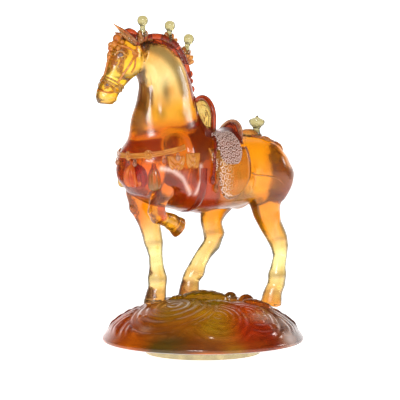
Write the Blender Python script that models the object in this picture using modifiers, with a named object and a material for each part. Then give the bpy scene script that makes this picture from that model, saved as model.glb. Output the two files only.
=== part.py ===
"""Cast crystal-glass horse on a domed cloud base, with saddle, bridle and crupper.

Metres, +Z up. The horse faces -X and its left side faces -Y. The origin is the
centre of the foot disc's flat underside.
"""

import math

import bmesh
import bpy
from mathutils import Vector
from mathutils.bvhtree import BVHTree

MM = 0.001

# Driving dimensions
FOOT_RADIUS = 58  # these five in mm, like the tables below
FOOT_HEIGHT = 6
FOOT_EDGE = 1
DOME_RADIUS = 100
DOME_TOP = 56
NECK_CUT_Z = 233 * MM  # the torso ends and the neck starts here
BOND = 0.35 * MM  # the bond line left between neighbouring pieces
CLOTH = 2.0 * MM  # thickness of the cloths and harness
STRAP = 1.4 * MM  # thickness of the bridle's straps
OVER_CLOTH = CLOTH + 3 * BOND  # where a second layer starts
BODY_VOXEL = 3.2 * MM
BODY_KEEP = 0.2  # share of the torso's triangles that Decimate keeps
SIDES = 12  # facets round a limb

GLASS = {
    "amber": ((0.86, 0.42, 0.06), 0.25),
    "red": ((0.62, 0.10, 0.03), 0.25),
    "pale": ((0.90, 0.76, 0.36), 0.2),
    "clear": ((0.93, 0.90, 0.78), 0.08),
    "olive": ((0.55, 0.42, 0.08), 0.3),
    "rose": ((0.80, 0.48, 0.36), 0.35),
}

# A ring is (x, y, z, half depth in the XZ plane, half width) in mm, square to the path through the
# ring centres, or at a pitch of its own as a sixth value: 90 is level on a path that runs up, -90 level
# on one that runs down, 180 upright on one that runs to +X.
BARREL = [
    (-90, 0, 197, 12, 14, 180),
    (-87, 0, 196, 22, 24),
    (-76, 0, 192.5, 31.5, 32),
    (-52, 0, 189, 39, 35.5),
    (-22, 0, 186.5, 43.5, 36.5),
    (8, 0, 182, 39.5, 37.5),
    (35, 0, 181, 36.5, 36.5),
    (60, 0, 184, 32.5, 35.5),
    (77, 0, 184.5, 29.5, 33),
    (89, 0, 183, 23, 27),
    (97, 0, 182, 12, 15, 180),
]
NECK_ROOT = [
    (-40, 0, 196, 38, 30, 90),
    (-45, 0, 218, 40, 27, 90),
    (-46.5, 0, 240, 37, 22, 90),
]
NECK = [
    (-46.5, 0, 233.35, 38, 23, 90),
    (-46, 0, 250, 33.5, 20, 88),
    (-46.5, 0, 266, 30, 17.5, 82),
    (-51, 0, 280, 27.5, 15.8, 62),
    (-61, 0, 290.5, 23.5, 14, 38),
    (-74, 0, 297.5, 17, 12, 20),
]
HEAD = [
    (-80, 0, 309, 7, 7, -20),
    (-84, 0, 305.5, 14.5, 10.5, -36),
    (-89.5, 0, 298, 18, 12.6, -52),
    (-95, 0, 290, 17.6, 12.6, -58),
    (-101, 0, 281, 14, 10.4),
    (-106.5, 0, 272.5, 11.4, 8.8),
    (-112, 0, 264.5, 11, 8.6, -66),
    (-115, 0, 256.5, 10.2, 8.8, -78),
    (-115.5, 0, 251.5, 7.2, 6.4, -84),
]
SHOULDER = [
    (-48, 22, 220, 12, 9),
    (-50, 25, 205, 20, 13),
    (-53, 26, 188, 22, 13),
    (-56, 25, 170, 18, 11),
]
HAUNCH = [
    (69, 18, 208, 14, 10),
    (70, 23, 197, 23, 13.5),
    (69, 25, 184, 28, 14),
    (66, 24, 168, 26, 12.5),
    (63, 21, 153, 21, 11),
]
FORELEG_RIGHT = [
    (-61, 20, 178, 18, 12, -90),
    (-60.5, 20, 162, 17, 11.5),
    (-58, 19, 147, 14.4, 10.5),
    (-53, 18, 132, 11, 9.2),
    (-49, 18, 119, 10, 8.8),
    (-47, 18, 110, 9, 8),
    (-45, 18, 98, 7, 6),
    (-44, 18, 87, 7.4, 6.4),
    (-43, 18, 77, 9.6, 8.4),
    (-43, 18, 69, 9.4, 8.6),
    (-44, 18, 62.5, 9.6, 9, -80),
]
FORELEG_LEFT = [
    (-58, -25, 188, 14, 10, -80),
    (-63, -24, 174, 12.5, 9.6),
    (-67, -22.5, 160, 10, 8.8),
    (-69.5, -20.5, 148, 9.6, 8.8, -110),
    (-66, -18.5, 141.5, 8.8, 7.8, -140),
    (-58, -15, 138.5, 7, 6.2, -155),
    (-50.5, -12.5, 136.5, 7.4, 6.8, -155),
    (-45, -10.5, 134, 8.6, 7.6, -150),
    (-41.5, -9.5, 132, 8.4, 7.6, -150),
]
HINDLEG_LEFT = [
    (62, -21, 172, 23, 11.5, -90),
    (62, -21, 154, 20, 11),
    (65, -19.5, 139, 15.5, 9.8),
    (71.5, -18, 125, 12, 8.8),
    (79, -17.5, 114, 11, 8.4),
    (83, -17.5, 103, 9.4, 7.6),
    (83.5, -17.5, 93, 7.2, 6.2),
    (81.5, -17.5, 84, 7.6, 6.8),
    (80, -17.5, 75, 9.2, 8),
    (79, -17.5, 66, 9.4, 8.4),
    (75.5, -17.5, 59, 9.2, 8.6),
    (74, -17.5, 55, 9.8, 9, -72),
]
HINDLEG_RIGHT = [
    (48, 21, 170, 22, 11.5, -90),
    (36, 21, 154, 20, 11.5),
    (26, 19.5, 141, 15.5, 10.6),
    (23, 18.5, 128, 11.4, 9.2),
    (26.5, 18, 117, 11.4, 8.8),
    (23.5, 18, 106, 9.2, 7.6),
    (14.5, 18, 97.5, 8, 6.8),
    (7.5, 18, 88, 8.4, 7.2),
    (3.5, 18, 79.5, 9.6, 8.4),
    (-2, 18, 72.5, 9.2, 8.2),
    (-3.6, 18, 66.5, 9.6, 8.8, -86),
]
# Each hoof: the leg it ends, and its sole as (x, y, z, half depth, half width, pitch).
HOOVES = [
    ("hoof_fore_right", "foreleg_right", FORELEG_RIGHT, (-47, 18, 50.5, 11.4, 10.8, -90)),
    ("hoof_fore_left", "foreleg_left", FORELEG_LEFT, (-34, -7, 127.5, 10.8, 10.2, -152)),
    ("hoof_hind_left", "hindleg_left", HINDLEG_LEFT, (71.5, -17.5, 43, 11.6, 10.8, -90)),
    ("hoof_hind_right", "hindleg_right", HINDLEG_RIGHT, (-5.5, 18, 54, 11.2, 10.4, -90)),
]
MANE = [
    (-84, 0, 314, 2.2, 2.2, 180),
    (-71, 0, 314.5, 3.6, 3),
    (-56, 0, 312.5, 4.2, 3.2),
    (-41, 0, 307.5, 4.4, 3.3),
    (-28, 0, 297.5, 4.5, 3.4),
    (-18, 0, 283, 4.4, 3.3),
    (-13.5, 0, 268, 4, 3.1),
    (-11, 0, 254, 3.2, 2.7),
    (-9, 0, 243, 1.8, 1.8),
]
EAR = [
    (-88, 7.8, 312, 4.6, 2.6),
    (-95, 8.6, 317, 4.4, 2.8),
    (-103, 9.6, 321, 2.8, 2),
    (-112, 10.2, 325, 0.8, 0.6),
]
FORELOCK = [
    (-84.5, 0, 320, 1.8, 2),
    (-89, 0, 321, 3.6, 3.4),
    (-94.5, 0, 318.5, 4.2, 3.8),
    (-99.5, 0, 313.5, 3.8, 3.6),
    (-104, 0, 308.5, 2, 2.2),
]
TAIL = [
    (88, 0, 212, 2.4, 3.2),
    (95, 0, 207.5, 3.6, 4),
    (101.5, 0, 199, 3.8, 4.4),
    (104, 0, 187.5, 3.6, 4.2),
    (103.5, 0, 174.5, 2.6, 3),
]

# Name, foot of the tuft on the crest and lean of its stem from upright in degrees (positive leans back).
PLUMES = [
    ("1", (-72, 316.4), 0),
    ("2", (-41.5, 311.4), 6),
    ("3", (-21.5, 298.8), 16),
]
PLUME_PROFILE = [  # radius, height above the foot, top to bottom: ball, stem and tuft
    (0, 17.4), (2.6, 16.9), (4.5, 15.2), (5.3, 12.3), (4.7, 9.6), (3.2, 7.6), (2.5, 6.4),
    (2.8, 5), (3.4, 3.4), (4.4, 1.6), (5.4, -0.4), (5.6, -2.6), (0, -2.8),
]
FINIAL_PROFILE = [
    (0, 17), (1, 16), (2.6, 14.6), (6.4, 13), (7.2, 11.2), (6.4, 8.2), (4.2, 5.2), (3.4, 3.4),
    (4.4, 2.2), (4.4, -0.5), (0, -0.8),
]
DOME_PROFILE = [  # share of the dome's radius and of its height, down the outer side
    (0, 1), (0.24, 0.979), (0.44, 0.936), (0.59, 0.875), (0.73, 0.775), (0.83, 0.668),
    (0.91, 0.554), (0.97, 0.421), (1, 0.295), (0.984, 0.204), (0.93, 0.139),
]
DOME_FOOT_SHARE = 0.85  # radius of the dome's flat underside
CLOUD_LOBES = [  # name, centre, half size, glass
    ("cloud_lobe_front", (-1, -30, 50), (24, 12, 8), "olive"),
    ("cloud_lobe_left", (30, -46, 44), (16, 11, 6), "rose"),
    ("cloud_lobe_head", (-52, -32, 42), (18, 12, 6), "amber"),
]

BOSS_PROFILE = [(0, 0.62), (0.34, 0.58), (0.5, 0.36), (0.72, 0.44), (1, 0.26), (1, -0.9), (0, -0.9)]
BELL_PROFILE = [
    (0, 14), (3.4, 13), (5, 9.5), (5.6, 5), (4.4, 2), (5.4, -1), (6.2, -7), (6.6, -12.5), (0, -13.5),
]
TASSEL_PROFILE = [
    (0, 1), (4.5, 0), (6.2, -3), (9.6, -7.5), (11.4, -14), (11.6, -21), (10, -26.5), (0, -28),
]
# Name, where a ray starts, the way it goes to the horse's skin (mm), radius, layer it sits on, glass.
ORNAMENTS = [
    ("medallion_front", (-150, 0, 207), (1, 0, 0), 4.6, "collar", "rose"),
    ("medallion_left", (-110, -60, 207), (0.75, 0.66, 0), 4.4, "collar", "rose"),
    ("medallion_right", (-110, 60, 207), (0.75, -0.66, 0), 4.4, "collar", "rose"),
    ("cloud_pendant_left", (-45, -80, 189.5), (0, 1, 0), 7.6, "skin", "amber"),
    ("cloud_pendant_right", (-45, 80, 189.5), (0, -1, 0), 7.6, "skin", "amber"),
    ("croup_rosette_left", (64, -15, 260), (0, 0, -1), 4.4, "skin", "rose"),
    ("croup_rosette_right", (64, 15, 260), (0, 0, -1), 4.4, "skin", "rose"),
    ("rump_rosette_left", (80, -13, 260), (0, 0, -1), 4.8, "skin", "rose"),
    ("rump_rosette_right", (80, 13, 260), (0, 0, -1), 4.8, "skin", "rose"),
]
made = {}


def clear_scene():
    for obj in list(bpy.data.objects):
        bpy.data.objects.remove(obj, do_unlink=True)


def new_collection(name):
    found = bpy.data.collections.new(name)
    bpy.context.scene.collection.children.link(found)
    return found


def glass(kind):
    name = "glass_" + kind
    found = bpy.data.materials.get(name)
    if found:
        return found
    colour, roughness = GLASS[kind]
    found = bpy.data.materials.new(name)
    found.use_nodes = True
    shader = found.node_tree.nodes["Principled BSDF"]
    shader.inputs["Base Color"].default_value = (*colour, 1)
    shader.inputs["Roughness"].default_value = roughness
    shader.inputs["Metallic"].default_value = 0.0
    shader.inputs["Transmission Weight"].default_value = 0.7
    return found


def add_object(name, mesh, kind):
    obj = bpy.data.objects.new(name, mesh)
    PARTS.objects.link(obj)
    obj.data.materials.clear()
    obj.data.materials.append(glass(kind))
    obj.data.shade_smooth()
    obj.data.set_sharp_from_angle(angle=math.radians(40))
    made[name] = obj
    return obj


def add_helper(name, mesh):
    obj = bpy.data.objects.new(name, mesh)
    CUTTERS.objects.link(obj)
    obj.hide_render = True
    obj.display_type = "WIRE"
    return obj


def path_pitch(rings, i):
    """The pitch of the path at ring i, from its neighbours' centres."""
    before = rings[max(i - 1, 0)]
    after = rings[min(i + 1, len(rings) - 1)]
    return math.atan2(after[2] - before[2], before[0] - after[0])


def ring_points(rings, i, sides, grow, square):
    """Points of one cross-section: a superellipse, square 2 being an ellipse."""
    x, y, z, depth, width, *own_pitch = rings[i]
    pitch = math.radians(own_pitch[0]) if own_pitch else path_pitch(rings, i)
    across = Vector((math.sin(pitch), 0, math.cos(pitch)))
    points = []
    for step in range(sides):
        turn = 2 * math.pi * step / sides
        c, s = math.cos(turn), math.sin(turn)
        c = math.copysign(abs(c) ** (2 / square), c)
        s = math.copysign(abs(s) ** (2 / square), s)
        points.append(
            Vector((x, y, z)) * MM
            + across * (depth * MM + grow) * c
            + Vector((0, width * MM + grow, 0)) * s
        )
    return points


def loft_mesh(name, rings, sides=SIDES, grow=0.0, square=2.0):
    """A closed tube through unlike sections; grow swells it and lengthens both ends."""
    bm = bmesh.new()
    loops = []
    for i, ring in enumerate(rings):
        points = ring_points(rings, i, sides, grow, square)
        if grow and i in (0, len(rings) - 1):
            nearest = rings[1] if i == 0 else rings[-2]
            outward = (Vector(ring[:3]) - Vector(nearest[:3])).normalized() * grow
            points = [p + outward for p in points]
        loops.append([bm.verts.new(p) for p in points])
    for low, high in zip(loops, loops[1:]):
        for i in range(sides):
            j = (i + 1) % sides
            bm.faces.new((low[i], low[j], high[j], high[i]))
    bm.faces.new(list(reversed(loops[0])))
    bm.faces.new(loops[-1])
    bmesh.ops.recalc_face_normals(bm, faces=bm.faces)
    if bm.calc_volume(signed=True) < 0:
        bmesh.ops.reverse_faces(bm, faces=bm.faces)
    mesh = bpy.data.meshes.new(name)
    bm.to_mesh(mesh)
    bm.free()
    return mesh


def mirrored(rings):
    return [(ring[0], -ring[1], *ring[2:]) for ring in rings]


def loft(name, rings, kind, **options):
    return add_object(name, loft_mesh(name, rings, **options), kind)


def turned(name, profile, kind, foot=(0, 0, 0), lean=0.0, steps=20):
    """A profile in mm, radius and height, turned about its own upright axis."""
    mesh = bpy.data.meshes.new(name)
    points = [(r * MM, 0, h * MM) for r, h in profile]
    mesh.from_pydata(points, [(i, i + 1) for i in range(len(points) - 1)], [])
    obj = add_object(name, mesh, kind)
    obj.location = Vector(foot) * MM
    obj.rotation_euler = (0, math.radians(lean), 0)
    screw = obj.modifiers.new("Turn", "SCREW")
    screw.steps = steps
    screw.render_steps = steps
    screw.use_merge_vertices = True
    screw.merge_threshold = 0.00002
    return obj


def frozen(obj, name):
    """The object's evaluated mesh, in world space, with its doubles welded."""
    bpy.context.view_layer.update()
    graph = bpy.context.evaluated_depsgraph_get()
    mesh = bpy.data.meshes.new_from_object(obj.evaluated_get(graph))
    mesh.name = name
    mesh.transform(obj.matrix_world)
    bm = bmesh.new()
    bm.from_mesh(mesh)
    bmesh.ops.remove_doubles(bm, verts=bm.verts, dist=0.00001)
    bm.to_mesh(mesh)
    bm.free()
    return mesh


def swollen(obj, name, by):
    """A helper of the same shape, larger by this much all over, for cutting neighbours back."""
    mesh = frozen(obj, name)
    helper = add_helper(name, mesh)
    swell = helper.modifiers.new("Swell", "DISPLACE")
    swell.strength = by
    swell.mid_level = 0.0
    return helper


def cut(obj, *cutters):
    for cutter in cutters:
        boolean = obj.modifiers.new("Cut " + cutter.name, "BOOLEAN")
        boolean.operation = "DIFFERENCE"
        boolean.object = cutter
    return obj


def grown_loft(name, rings, **options):
    return add_helper(name, loft_mesh(name, rings, grow=BOND, **options))


def build_base():
    underside = FOOT_HEIGHT + BOND / MM
    profile = [(DOME_RADIUS * r, DOME_TOP * h) for r, h in DOME_PROFILE]
    profile += [(DOME_RADIUS * DOME_FOOT_SHARE, underside), (0, underside)]
    turned("base_dome", profile, "red", steps=48)
    edge = FOOT_RADIUS - FOOT_EDGE
    shoulder = FOOT_HEIGHT - FOOT_EDGE
    foot = [(0, FOOT_HEIGHT), (edge, FOOT_HEIGHT), (FOOT_RADIUS, shoulder), (FOOT_RADIUS, 0), (0, 0)]
    turned("foot_disc", foot, "clear", steps=48)
    made["dome_cutter"] = swollen(made["base_dome"], "dome_plus_bond", BOND)
    for name, place, size, kind in CLOUD_LOBES:
        cut(ball(name, place, size, kind), made["dome_cutter"])


def build_torso():
    """Barrel, neck root, shoulders and haunches fused into one casting, with sockets for neck and legs."""
    bm = bmesh.new()
    lumps = [BARREL, NECK_ROOT, SHOULDER, mirrored(SHOULDER), HAUNCH, mirrored(HAUNCH)]
    for rings in lumps:
        square = 2.3 if rings is BARREL else 2.0
        bm.from_mesh(loft_mesh("lump", rings, sides=24, square=square))
    mesh = bpy.data.meshes.new("torso")
    bm.to_mesh(mesh)
    bm.free()
    rough = add_helper("torso_clay", mesh)
    remesh = rough.modifiers.new("Fuse", "REMESH")
    remesh.mode = "VOXEL"
    remesh.voxel_size = BODY_VOXEL
    smooth = rough.modifiers.new("Smooth", "SMOOTH")
    smooth.factor = 0.5
    smooth.iterations = 6
    thin = rough.modifiers.new("Thin", "DECIMATE")
    thin.ratio = BODY_KEEP
    fused = frozen(rough, "torso")
    bm = bmesh.new()
    bm.from_mesh(fused)
    geometry = bm.verts[:] + bm.edges[:] + bm.faces[:]
    cut_at = bmesh.ops.bisect_plane(
        bm, geom=geometry, plane_co=(0, 0, NECK_CUT_Z), plane_no=(0, 0, 1), clear_outer=True
    )
    rim = [e for e in cut_at["geom_cut"] if isinstance(e, bmesh.types.BMEdge)]
    bmesh.ops.contextual_create(bm, geom=rim)
    bmesh.ops.triangulate(bm, faces=[f for f in bm.faces if len(f.verts) > 4])
    bmesh.ops.recalc_face_normals(bm, faces=bm.faces)
    bm.to_mesh(fused)
    bm.free()
    torso = add_object("torso", fused, "red")
    made["skin"] = add_helper("torso_skin", fused.copy())
    for name, by in (("torso_plus_bond", BOND), ("torso_plus_cloth", OVER_CLOTH)):
        helper = add_helper(name, fused.copy())
        swell = helper.modifiers.new("Swell", "DISPLACE")
        swell.strength = by
        swell.mid_level = 0.0
        made[name] = helper
    return torso


def coronet(leg):
    """The hoof's first ring: the leg's last one, a bond line further down its path."""
    x, y, z, depth, width, pitch = leg[-1]
    angle = math.radians(pitch)
    gap = BOND / MM
    return (x - gap * math.cos(angle), y, z + gap * math.sin(angle), depth + 0.3, width + 0.3, pitch)


def build_legs(torso):
    for hoof_name, leg_name, rings, sole in HOOVES:
        loft(leg_name, rings, "pale")
        made[leg_name + "_socket"] = grown_loft(leg_name + "_socket", rings)
        cut(torso, made[leg_name + "_socket"])
        hoof = loft(hoof_name, [coronet(rings), sole], "amber")
        cut(hoof, made["dome_cutter"])


def build_neck_and_head():
    loft("head", HEAD, "amber", sides=16, square=2.2)
    neck = loft("neck", NECK, "pale", sides=20)
    cut(neck, grown_loft("head_socket", HEAD, sides=16, square=2.2))
    for side, sign in (("left", -1), ("right", 1)):
        ear = EAR if sign > 0 else mirrored(EAR)
        loft("ear_" + side, ear, "amber", sides=10)


def build_mane():
    crest = loft("mane_crest", MANE, "red", sides=10)
    neck_cutter = swollen(made["neck"], "neck_plus_bond", BOND)
    head_cutter = grown_loft("head_plus_bond", HEAD, sides=16, square=2.2)
    made["head_cutter"] = head_cutter
    made["neck_cutter"] = neck_cutter
    for side in ("left", "right"):
        cut(made["ear_" + side], head_cutter)
    cut(crest, neck_cutter, head_cutter)
    crest_cutter = swollen(crest, "crest_plus_bond", BOND)
    for name, (x, z), lean in PLUMES:
        cut(turned("mane_plume_" + name, PLUME_PROFILE, "clear", (x, 0, z), lean, steps=14), crest_cutter)
    knob = [(0, 6.5), (2.6, 5.6), (3.6, 3), (3.4, 0.5), (2.4, -1.5), (0, -2)]
    cut(turned("mane_knob", knob, "red", (-12.5, 0, 274), 75, steps=12), crest_cutter)
    cut(loft("forelock", FORELOCK, "amber", sides=10), head_cutter)


def ball(name, place, size, kind):
    """An ellipsoid of these half sizes, in mm."""
    bm = bmesh.new()
    bmesh.ops.create_uvsphere(bm, u_segments=16, v_segments=9, radius=MM)
    mesh = bpy.data.meshes.new(name)
    bm.to_mesh(mesh)
    bm.free()
    for vertex in mesh.vertices:
        vertex.co = Vector(c * s for c, s in zip(vertex.co, size))
    obj = add_object(name, mesh, kind)
    obj.location = Vector(place) * MM
    return obj


def on_surface(name, profile, origin, toward, kind):
    """A turned boss standing square on the torso where a ray first meets it."""
    tree = BVHTree.FromObject(made["skin"], bpy.context.evaluated_depsgraph_get())
    place, normal, _, _ = tree.ray_cast(Vector(origin) * MM, Vector(toward).normalized())
    boss = turned(name, profile, kind, (0, 0, 0), 0, steps=16)
    boss.location = place + normal * BOND
    boss.rotation_euler = normal.to_track_quat("Z", "Y").to_euler()
    return boss


def skin_patch(name, source, planes, kind, lift=BOND, thickness=CLOTH):
    """A sheet that hugs a piece: the part of its skin inside all the planes, lifted and thickened.
    A plane is a point and a normal in mm; what lies beyond it is trimmed off."""
    bm = bmesh.new()
    bm.from_mesh(source)
    for point, normal in planes:
        geometry = bm.verts[:] + bm.edges[:] + bm.faces[:]
        bmesh.ops.bisect_plane(
            bm, geom=geometry, plane_co=Vector(point) * MM, plane_no=normal, clear_outer=True
        )
    bmesh.ops.remove_doubles(bm, verts=bm.verts, dist=0.00003)
    mesh = bpy.data.meshes.new(name)
    bm.to_mesh(mesh)
    bm.free()
    obj = add_object(name, mesh, kind)
    raise_off = obj.modifiers.new("Lift", "DISPLACE")
    raise_off.strength = lift
    raise_off.mid_level = 0.0
    wall = obj.modifiers.new("Wall", "SOLIDIFY")
    wall.thickness = thickness
    wall.offset = 1.0
    return obj


def build_saddle():
    skin = made["skin"].data
    for side, sign in (("left", -1), ("right", 1)):
        # Mudguard: the large panel on each flank, from the saddle down to the belly.
        guard = skin_patch("mudguard_" + side, skin, [
            ((-12, 0, 180), (-1, 0, 0.08)),
            ((37, 0, 180), (1, 0, 0.12)),
            ((0, 0, 208), (0, 0, 1)),
            ((0, 0, 152), (0, 0, -1)),
            ((-12, 0, 166), (-0.8, 0, -0.6)),
            ((35, 0, 166), (0.7, 0, -0.7)),
            ((0, 6 * sign, 0), (0, -sign, 0)),
        ], "amber")
        cut(guard, made["hindleg_" + side + "_socket"])
        skin_patch("stirrup_leather_" + side, skin, [
            ((-18.5, 0, 0), (-1, 0, 0)),
            ((-14.5, 0, 0), (1, 0, 0)),
            ((0, 0, 224), (0, 0, 1)),
            ((0, 0, 179), (0, 0, -1)),
            ((0, 6 * sign, 0), (0, -sign, 0)),
        ], "red")
    skin_patch("saddle_cloth", skin, [
        ((-8, 0, 0), (-1, 0, 0)),
        ((42, 0, 0), (1, 0, 0)),
        ((0, 0, 208.6), (0, 0, -1)),
    ], "rose")
    seat = skin_patch("saddle_seat", skin, [
        ((7, 0, 0), (-1, 0, 0)),
        ((31, 0, 0), (1, 0, 0)),
        ((0, 0, 214), (0, 0, -1)),
    ], "red", lift=OVER_CLOTH, thickness=3 * MM)
    cut(seat, made["torso_plus_cloth"])
    skin_patch("girth", skin, [
        ((-28, 0, 0), (-1, 0, 0)),
        ((-20, 0, 0), (1, 0, 0)),
        ((0, 0, 226), (0, 0, 1)),
    ], "red")


def arch_outline(half_width, top, bottom):
    """Half-round top on straight legs, in the YZ plane."""
    points = [(half_width, bottom)]
    for i in range(13):
        turn = math.pi * i / 12
        points.append((half_width * math.cos(turn), top - half_width + half_width * math.sin(turn)))
    points.append((-half_width, bottom))
    return points


def plate(name, outline, x, thickness, lean, kind):
    """A flat outline across the horse, standing at x and leaning back by lean degrees."""
    bm = bmesh.new()
    corners = [bm.verts.new((-thickness * MM / 2, y * MM, z * MM)) for y, z in outline]
    face = bm.faces.new(corners)
    moved = bmesh.ops.extrude_face_region(bm, geom=[face])["geom"]
    shifted = [v for v in moved if isinstance(v, bmesh.types.BMVert)]
    bmesh.ops.translate(bm, verts=shifted, vec=(thickness * MM, 0, 0))
    bmesh.ops.recalc_face_normals(bm, faces=bm.faces)
    mesh = bpy.data.meshes.new(name)
    bm.to_mesh(mesh)
    bm.free()
    obj = add_object(name, mesh, kind)
    obj.location = (x * MM, 0, 0)
    obj.rotation_euler = (0, math.radians(lean), 0)
    return obj


def build_saddle_tree():
    """Pommel and cantle: the two arches of the saddle's tree, cut to sit on the cloth."""
    cutter = made["torso_plus_cloth"]
    pommel = plate("pommel", [(y, z - 218) for y, z in arch_outline(17.5, 258, 214)], 0, 6, -4, "rose")
    pommel.location = (1 * MM, 0, 218 * MM)
    cantle = plate("cantle", [(y, z - 214) for y, z in arch_outline(21, 232.5, 208)], 0, 5, 14, "rose")
    cantle.location = (35 * MM, 0, 214 * MM)
    for arch in (pommel, cantle):
        cut(arch, cutter)


def build_harness():
    """Breast collar, crupper straps and what hangs from them."""
    skin = made["skin"].data
    skin_patch("breast_collar", skin, [
        ((-29, 0, 0), (1, 0, 0)),
        ((-80, 0, 212), (0.13, 0, 0.99)),
        ((-80, 0, 203), (-0.13, 0, -0.99)),
    ], "amber")
    skin_patch("crupper_strap", skin, [
        ((72, 0, 0), (-1, 0, 0)),
        ((0, 4, 0), (0, 1, 0)),
        ((0, -4, 0), (0, -1, 0)),
        ((0, 0, 205), (0, 0, -1)),
    ], "rose")
    for name, origin, toward, radius, layer, kind in ORNAMENTS:
        profile = [(r * radius, h * radius) for r, h in BOSS_PROFILE]
        boss = on_surface(name, profile, origin, toward, kind)
        cut(boss, made["torso_plus_cloth"] if layer == "collar" else made["torso_plus_bond"])
    for side, sign in (("left", -1), ("right", 1)):
        bell = turned("bell_tassel_" + side, BELL_PROFILE, "amber", (-77.5, 26 * sign, 180), steps=14)
        cut(bell, made["torso_plus_bond"], made["foreleg_" + side + "_socket"])
    tassel = turned("chest_tassel", TASSEL_PROFILE, "red", (-90, 0, 199), -14, steps=20)
    cut(tassel, made["torso_plus_bond"])


def build_croup():
    mound = ball("croup_mound", (56, 0, 216), (12.5, 9.5, 7), "amber")
    cut(mound, made["torso_plus_bond"])
    finial = turned("croup_finial", FINIAL_PROFILE, "clear", (67, 0, 218.5), 8, steps=18)
    cut(finial, swollen(mound, "mound_plus_bond", BOND), made["torso_plus_bond"])
    loft("tail", TAIL, "amber", sides=10)
    cut(made["tail"], made["torso_plus_cloth"])
    ball("tail_bead", (103.3, 0, 169.3), (3.4, 3.6, 4.8), "clear")


def build_bridle():
    """Straps round the head, along its axis from poll to muzzle."""
    skin = loft_mesh("head_skin", HEAD, sides=16, square=2.2)
    along = Vector((-0.5, 0, -0.86))
    across = Vector((0.86, 0, -0.5))

    def station(distance):
        """A point on the head's axis, this many mm below the temples."""
        return Vector((-92, 0, 295)) + along * distance

    def band(name, start, end, kind, extra=()):
        return skin_patch(name, skin, [
            (station(start), -along), (station(end), along), *extra
        ], kind, thickness=STRAP)

    headstall = band("headstall", 6, 10, "rose")
    cut(headstall, made["neck_cutter"])
    band("noseband", 28, 33, "pale")
    over_strap = add_helper(
        "head_plus_strap", loft_mesh("over_strap", HEAD, 16, grow=STRAP + 3 * BOND, square=2.2)
    )
    for side, sign in (("left", -1), ("right", 1)):
        band("cheek_strap_" + side, 12.8, 27.4, "rose", [
            (station(0) + across * 2.4, across),
            (station(0) - across * 2.4, -across),
            (Vector((0, 2 * sign, 0)), (0, -sign, 0)),
        ])
        rosette = turned("cheek_rosette_" + side, [(r * 4, h * 4) for r, h in BOSS_PROFILE], "amber",
                         station(8) + Vector((0, 14.9 * sign, 0)), 0, steps=14)
        rosette.rotation_euler = (math.radians(-90 * sign), 0, 0)
        cut(rosette, over_strap)
        bpy.ops.mesh.primitive_torus_add(
            major_radius=3.6 * MM, minor_radius=1.1 * MM, major_segments=16, minor_segments=8
        )
        ring = bpy.context.object
        mesh = ring.data
        bpy.data.objects.remove(ring)
        ring = add_object("bit_ring_" + side, mesh, "clear")
        ring.location = Vector((-110.5, 10.9 * sign, 259)) * MM
        ring.rotation_euler = (math.radians(90), 0, 0)


clear_scene()
PARTS = new_collection("crystal_horse")
CUTTERS = new_collection("cutters")

build_base()
torso = build_torso()
build_legs(torso)
build_neck_and_head()
build_mane()
build_saddle()
build_saddle_tree()
build_harness()
build_croup()
build_bridle()
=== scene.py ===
from math import atan2, cos, exp, hypot, pi, radians, sin, sqrt

import bmesh
import bpy
import numpy as np
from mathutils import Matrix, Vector
from mathutils.bvhtree import BVHTree


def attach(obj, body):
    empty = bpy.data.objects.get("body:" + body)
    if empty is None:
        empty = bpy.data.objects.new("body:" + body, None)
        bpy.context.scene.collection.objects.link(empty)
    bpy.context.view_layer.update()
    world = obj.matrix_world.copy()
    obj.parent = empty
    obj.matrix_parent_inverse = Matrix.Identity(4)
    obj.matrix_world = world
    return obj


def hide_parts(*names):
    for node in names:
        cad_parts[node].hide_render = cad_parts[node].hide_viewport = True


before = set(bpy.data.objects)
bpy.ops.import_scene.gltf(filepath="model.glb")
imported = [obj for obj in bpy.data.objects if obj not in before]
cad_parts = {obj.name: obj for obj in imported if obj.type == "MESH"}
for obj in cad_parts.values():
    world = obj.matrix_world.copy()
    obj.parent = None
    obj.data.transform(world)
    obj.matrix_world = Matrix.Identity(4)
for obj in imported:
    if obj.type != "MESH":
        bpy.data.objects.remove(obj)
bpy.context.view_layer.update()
mm = 0.001
viewCos, viewSin = 0.819, 0.574  # the front view is from the horse's left front, 35 degrees round
bothSides = (("Left", -1), ("Right", 1))  # the horse faces along -x, so its left is -y


def clearSelection():
    if bpy.context.mode != "OBJECT":
        bpy.ops.object.mode_set(mode="OBJECT")
    bpy.ops.object.select_all(action="DESELECT")


def pick(obj):
    clearSelection()
    obj.select_set(True)
    bpy.context.view_layer.objects.active = obj


def applyModifiers(obj):
    pick(obj)
    for modifier in list(obj.modifiers):
        bpy.ops.object.modifier_apply(modifier=modifier.name)


def bakePlace(obj):
    pick(obj)
    bpy.ops.object.transform_apply(location=True, rotation=True, scale=True)


def cleanNormals(obj):
    pick(obj)
    bpy.ops.object.mode_set(mode="EDIT")
    bpy.ops.mesh.select_all(action="SELECT")
    bpy.ops.mesh.remove_doubles(threshold=0.00002)
    bpy.ops.mesh.normals_make_consistent(inside=False)
    bpy.ops.object.mode_set(mode="OBJECT")


def joinAll(objects, name):
    clearSelection()
    for obj in objects:
        obj.select_set(True)
    bpy.context.view_layer.objects.active = objects[0]
    bpy.ops.object.join()
    joined = bpy.context.object
    joined.name = name
    joined.data.name = name
    return joined


def finishPiece(obj, glassName, *nodes, angle=50):
    bakePlace(obj)
    obj.data.materials.clear()
    obj.data.materials.append(bpy.data.materials[glassName])
    pick(obj)
    bpy.ops.object.shade_smooth_by_angle(angle=radians(angle))
    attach(obj, "root")
    if nodes:
        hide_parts(*nodes)
    return obj


def raised(route, lift):  # places a little off the skin, from places and normals
    return [place + normal * lift * mm for place, normal in route]


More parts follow.
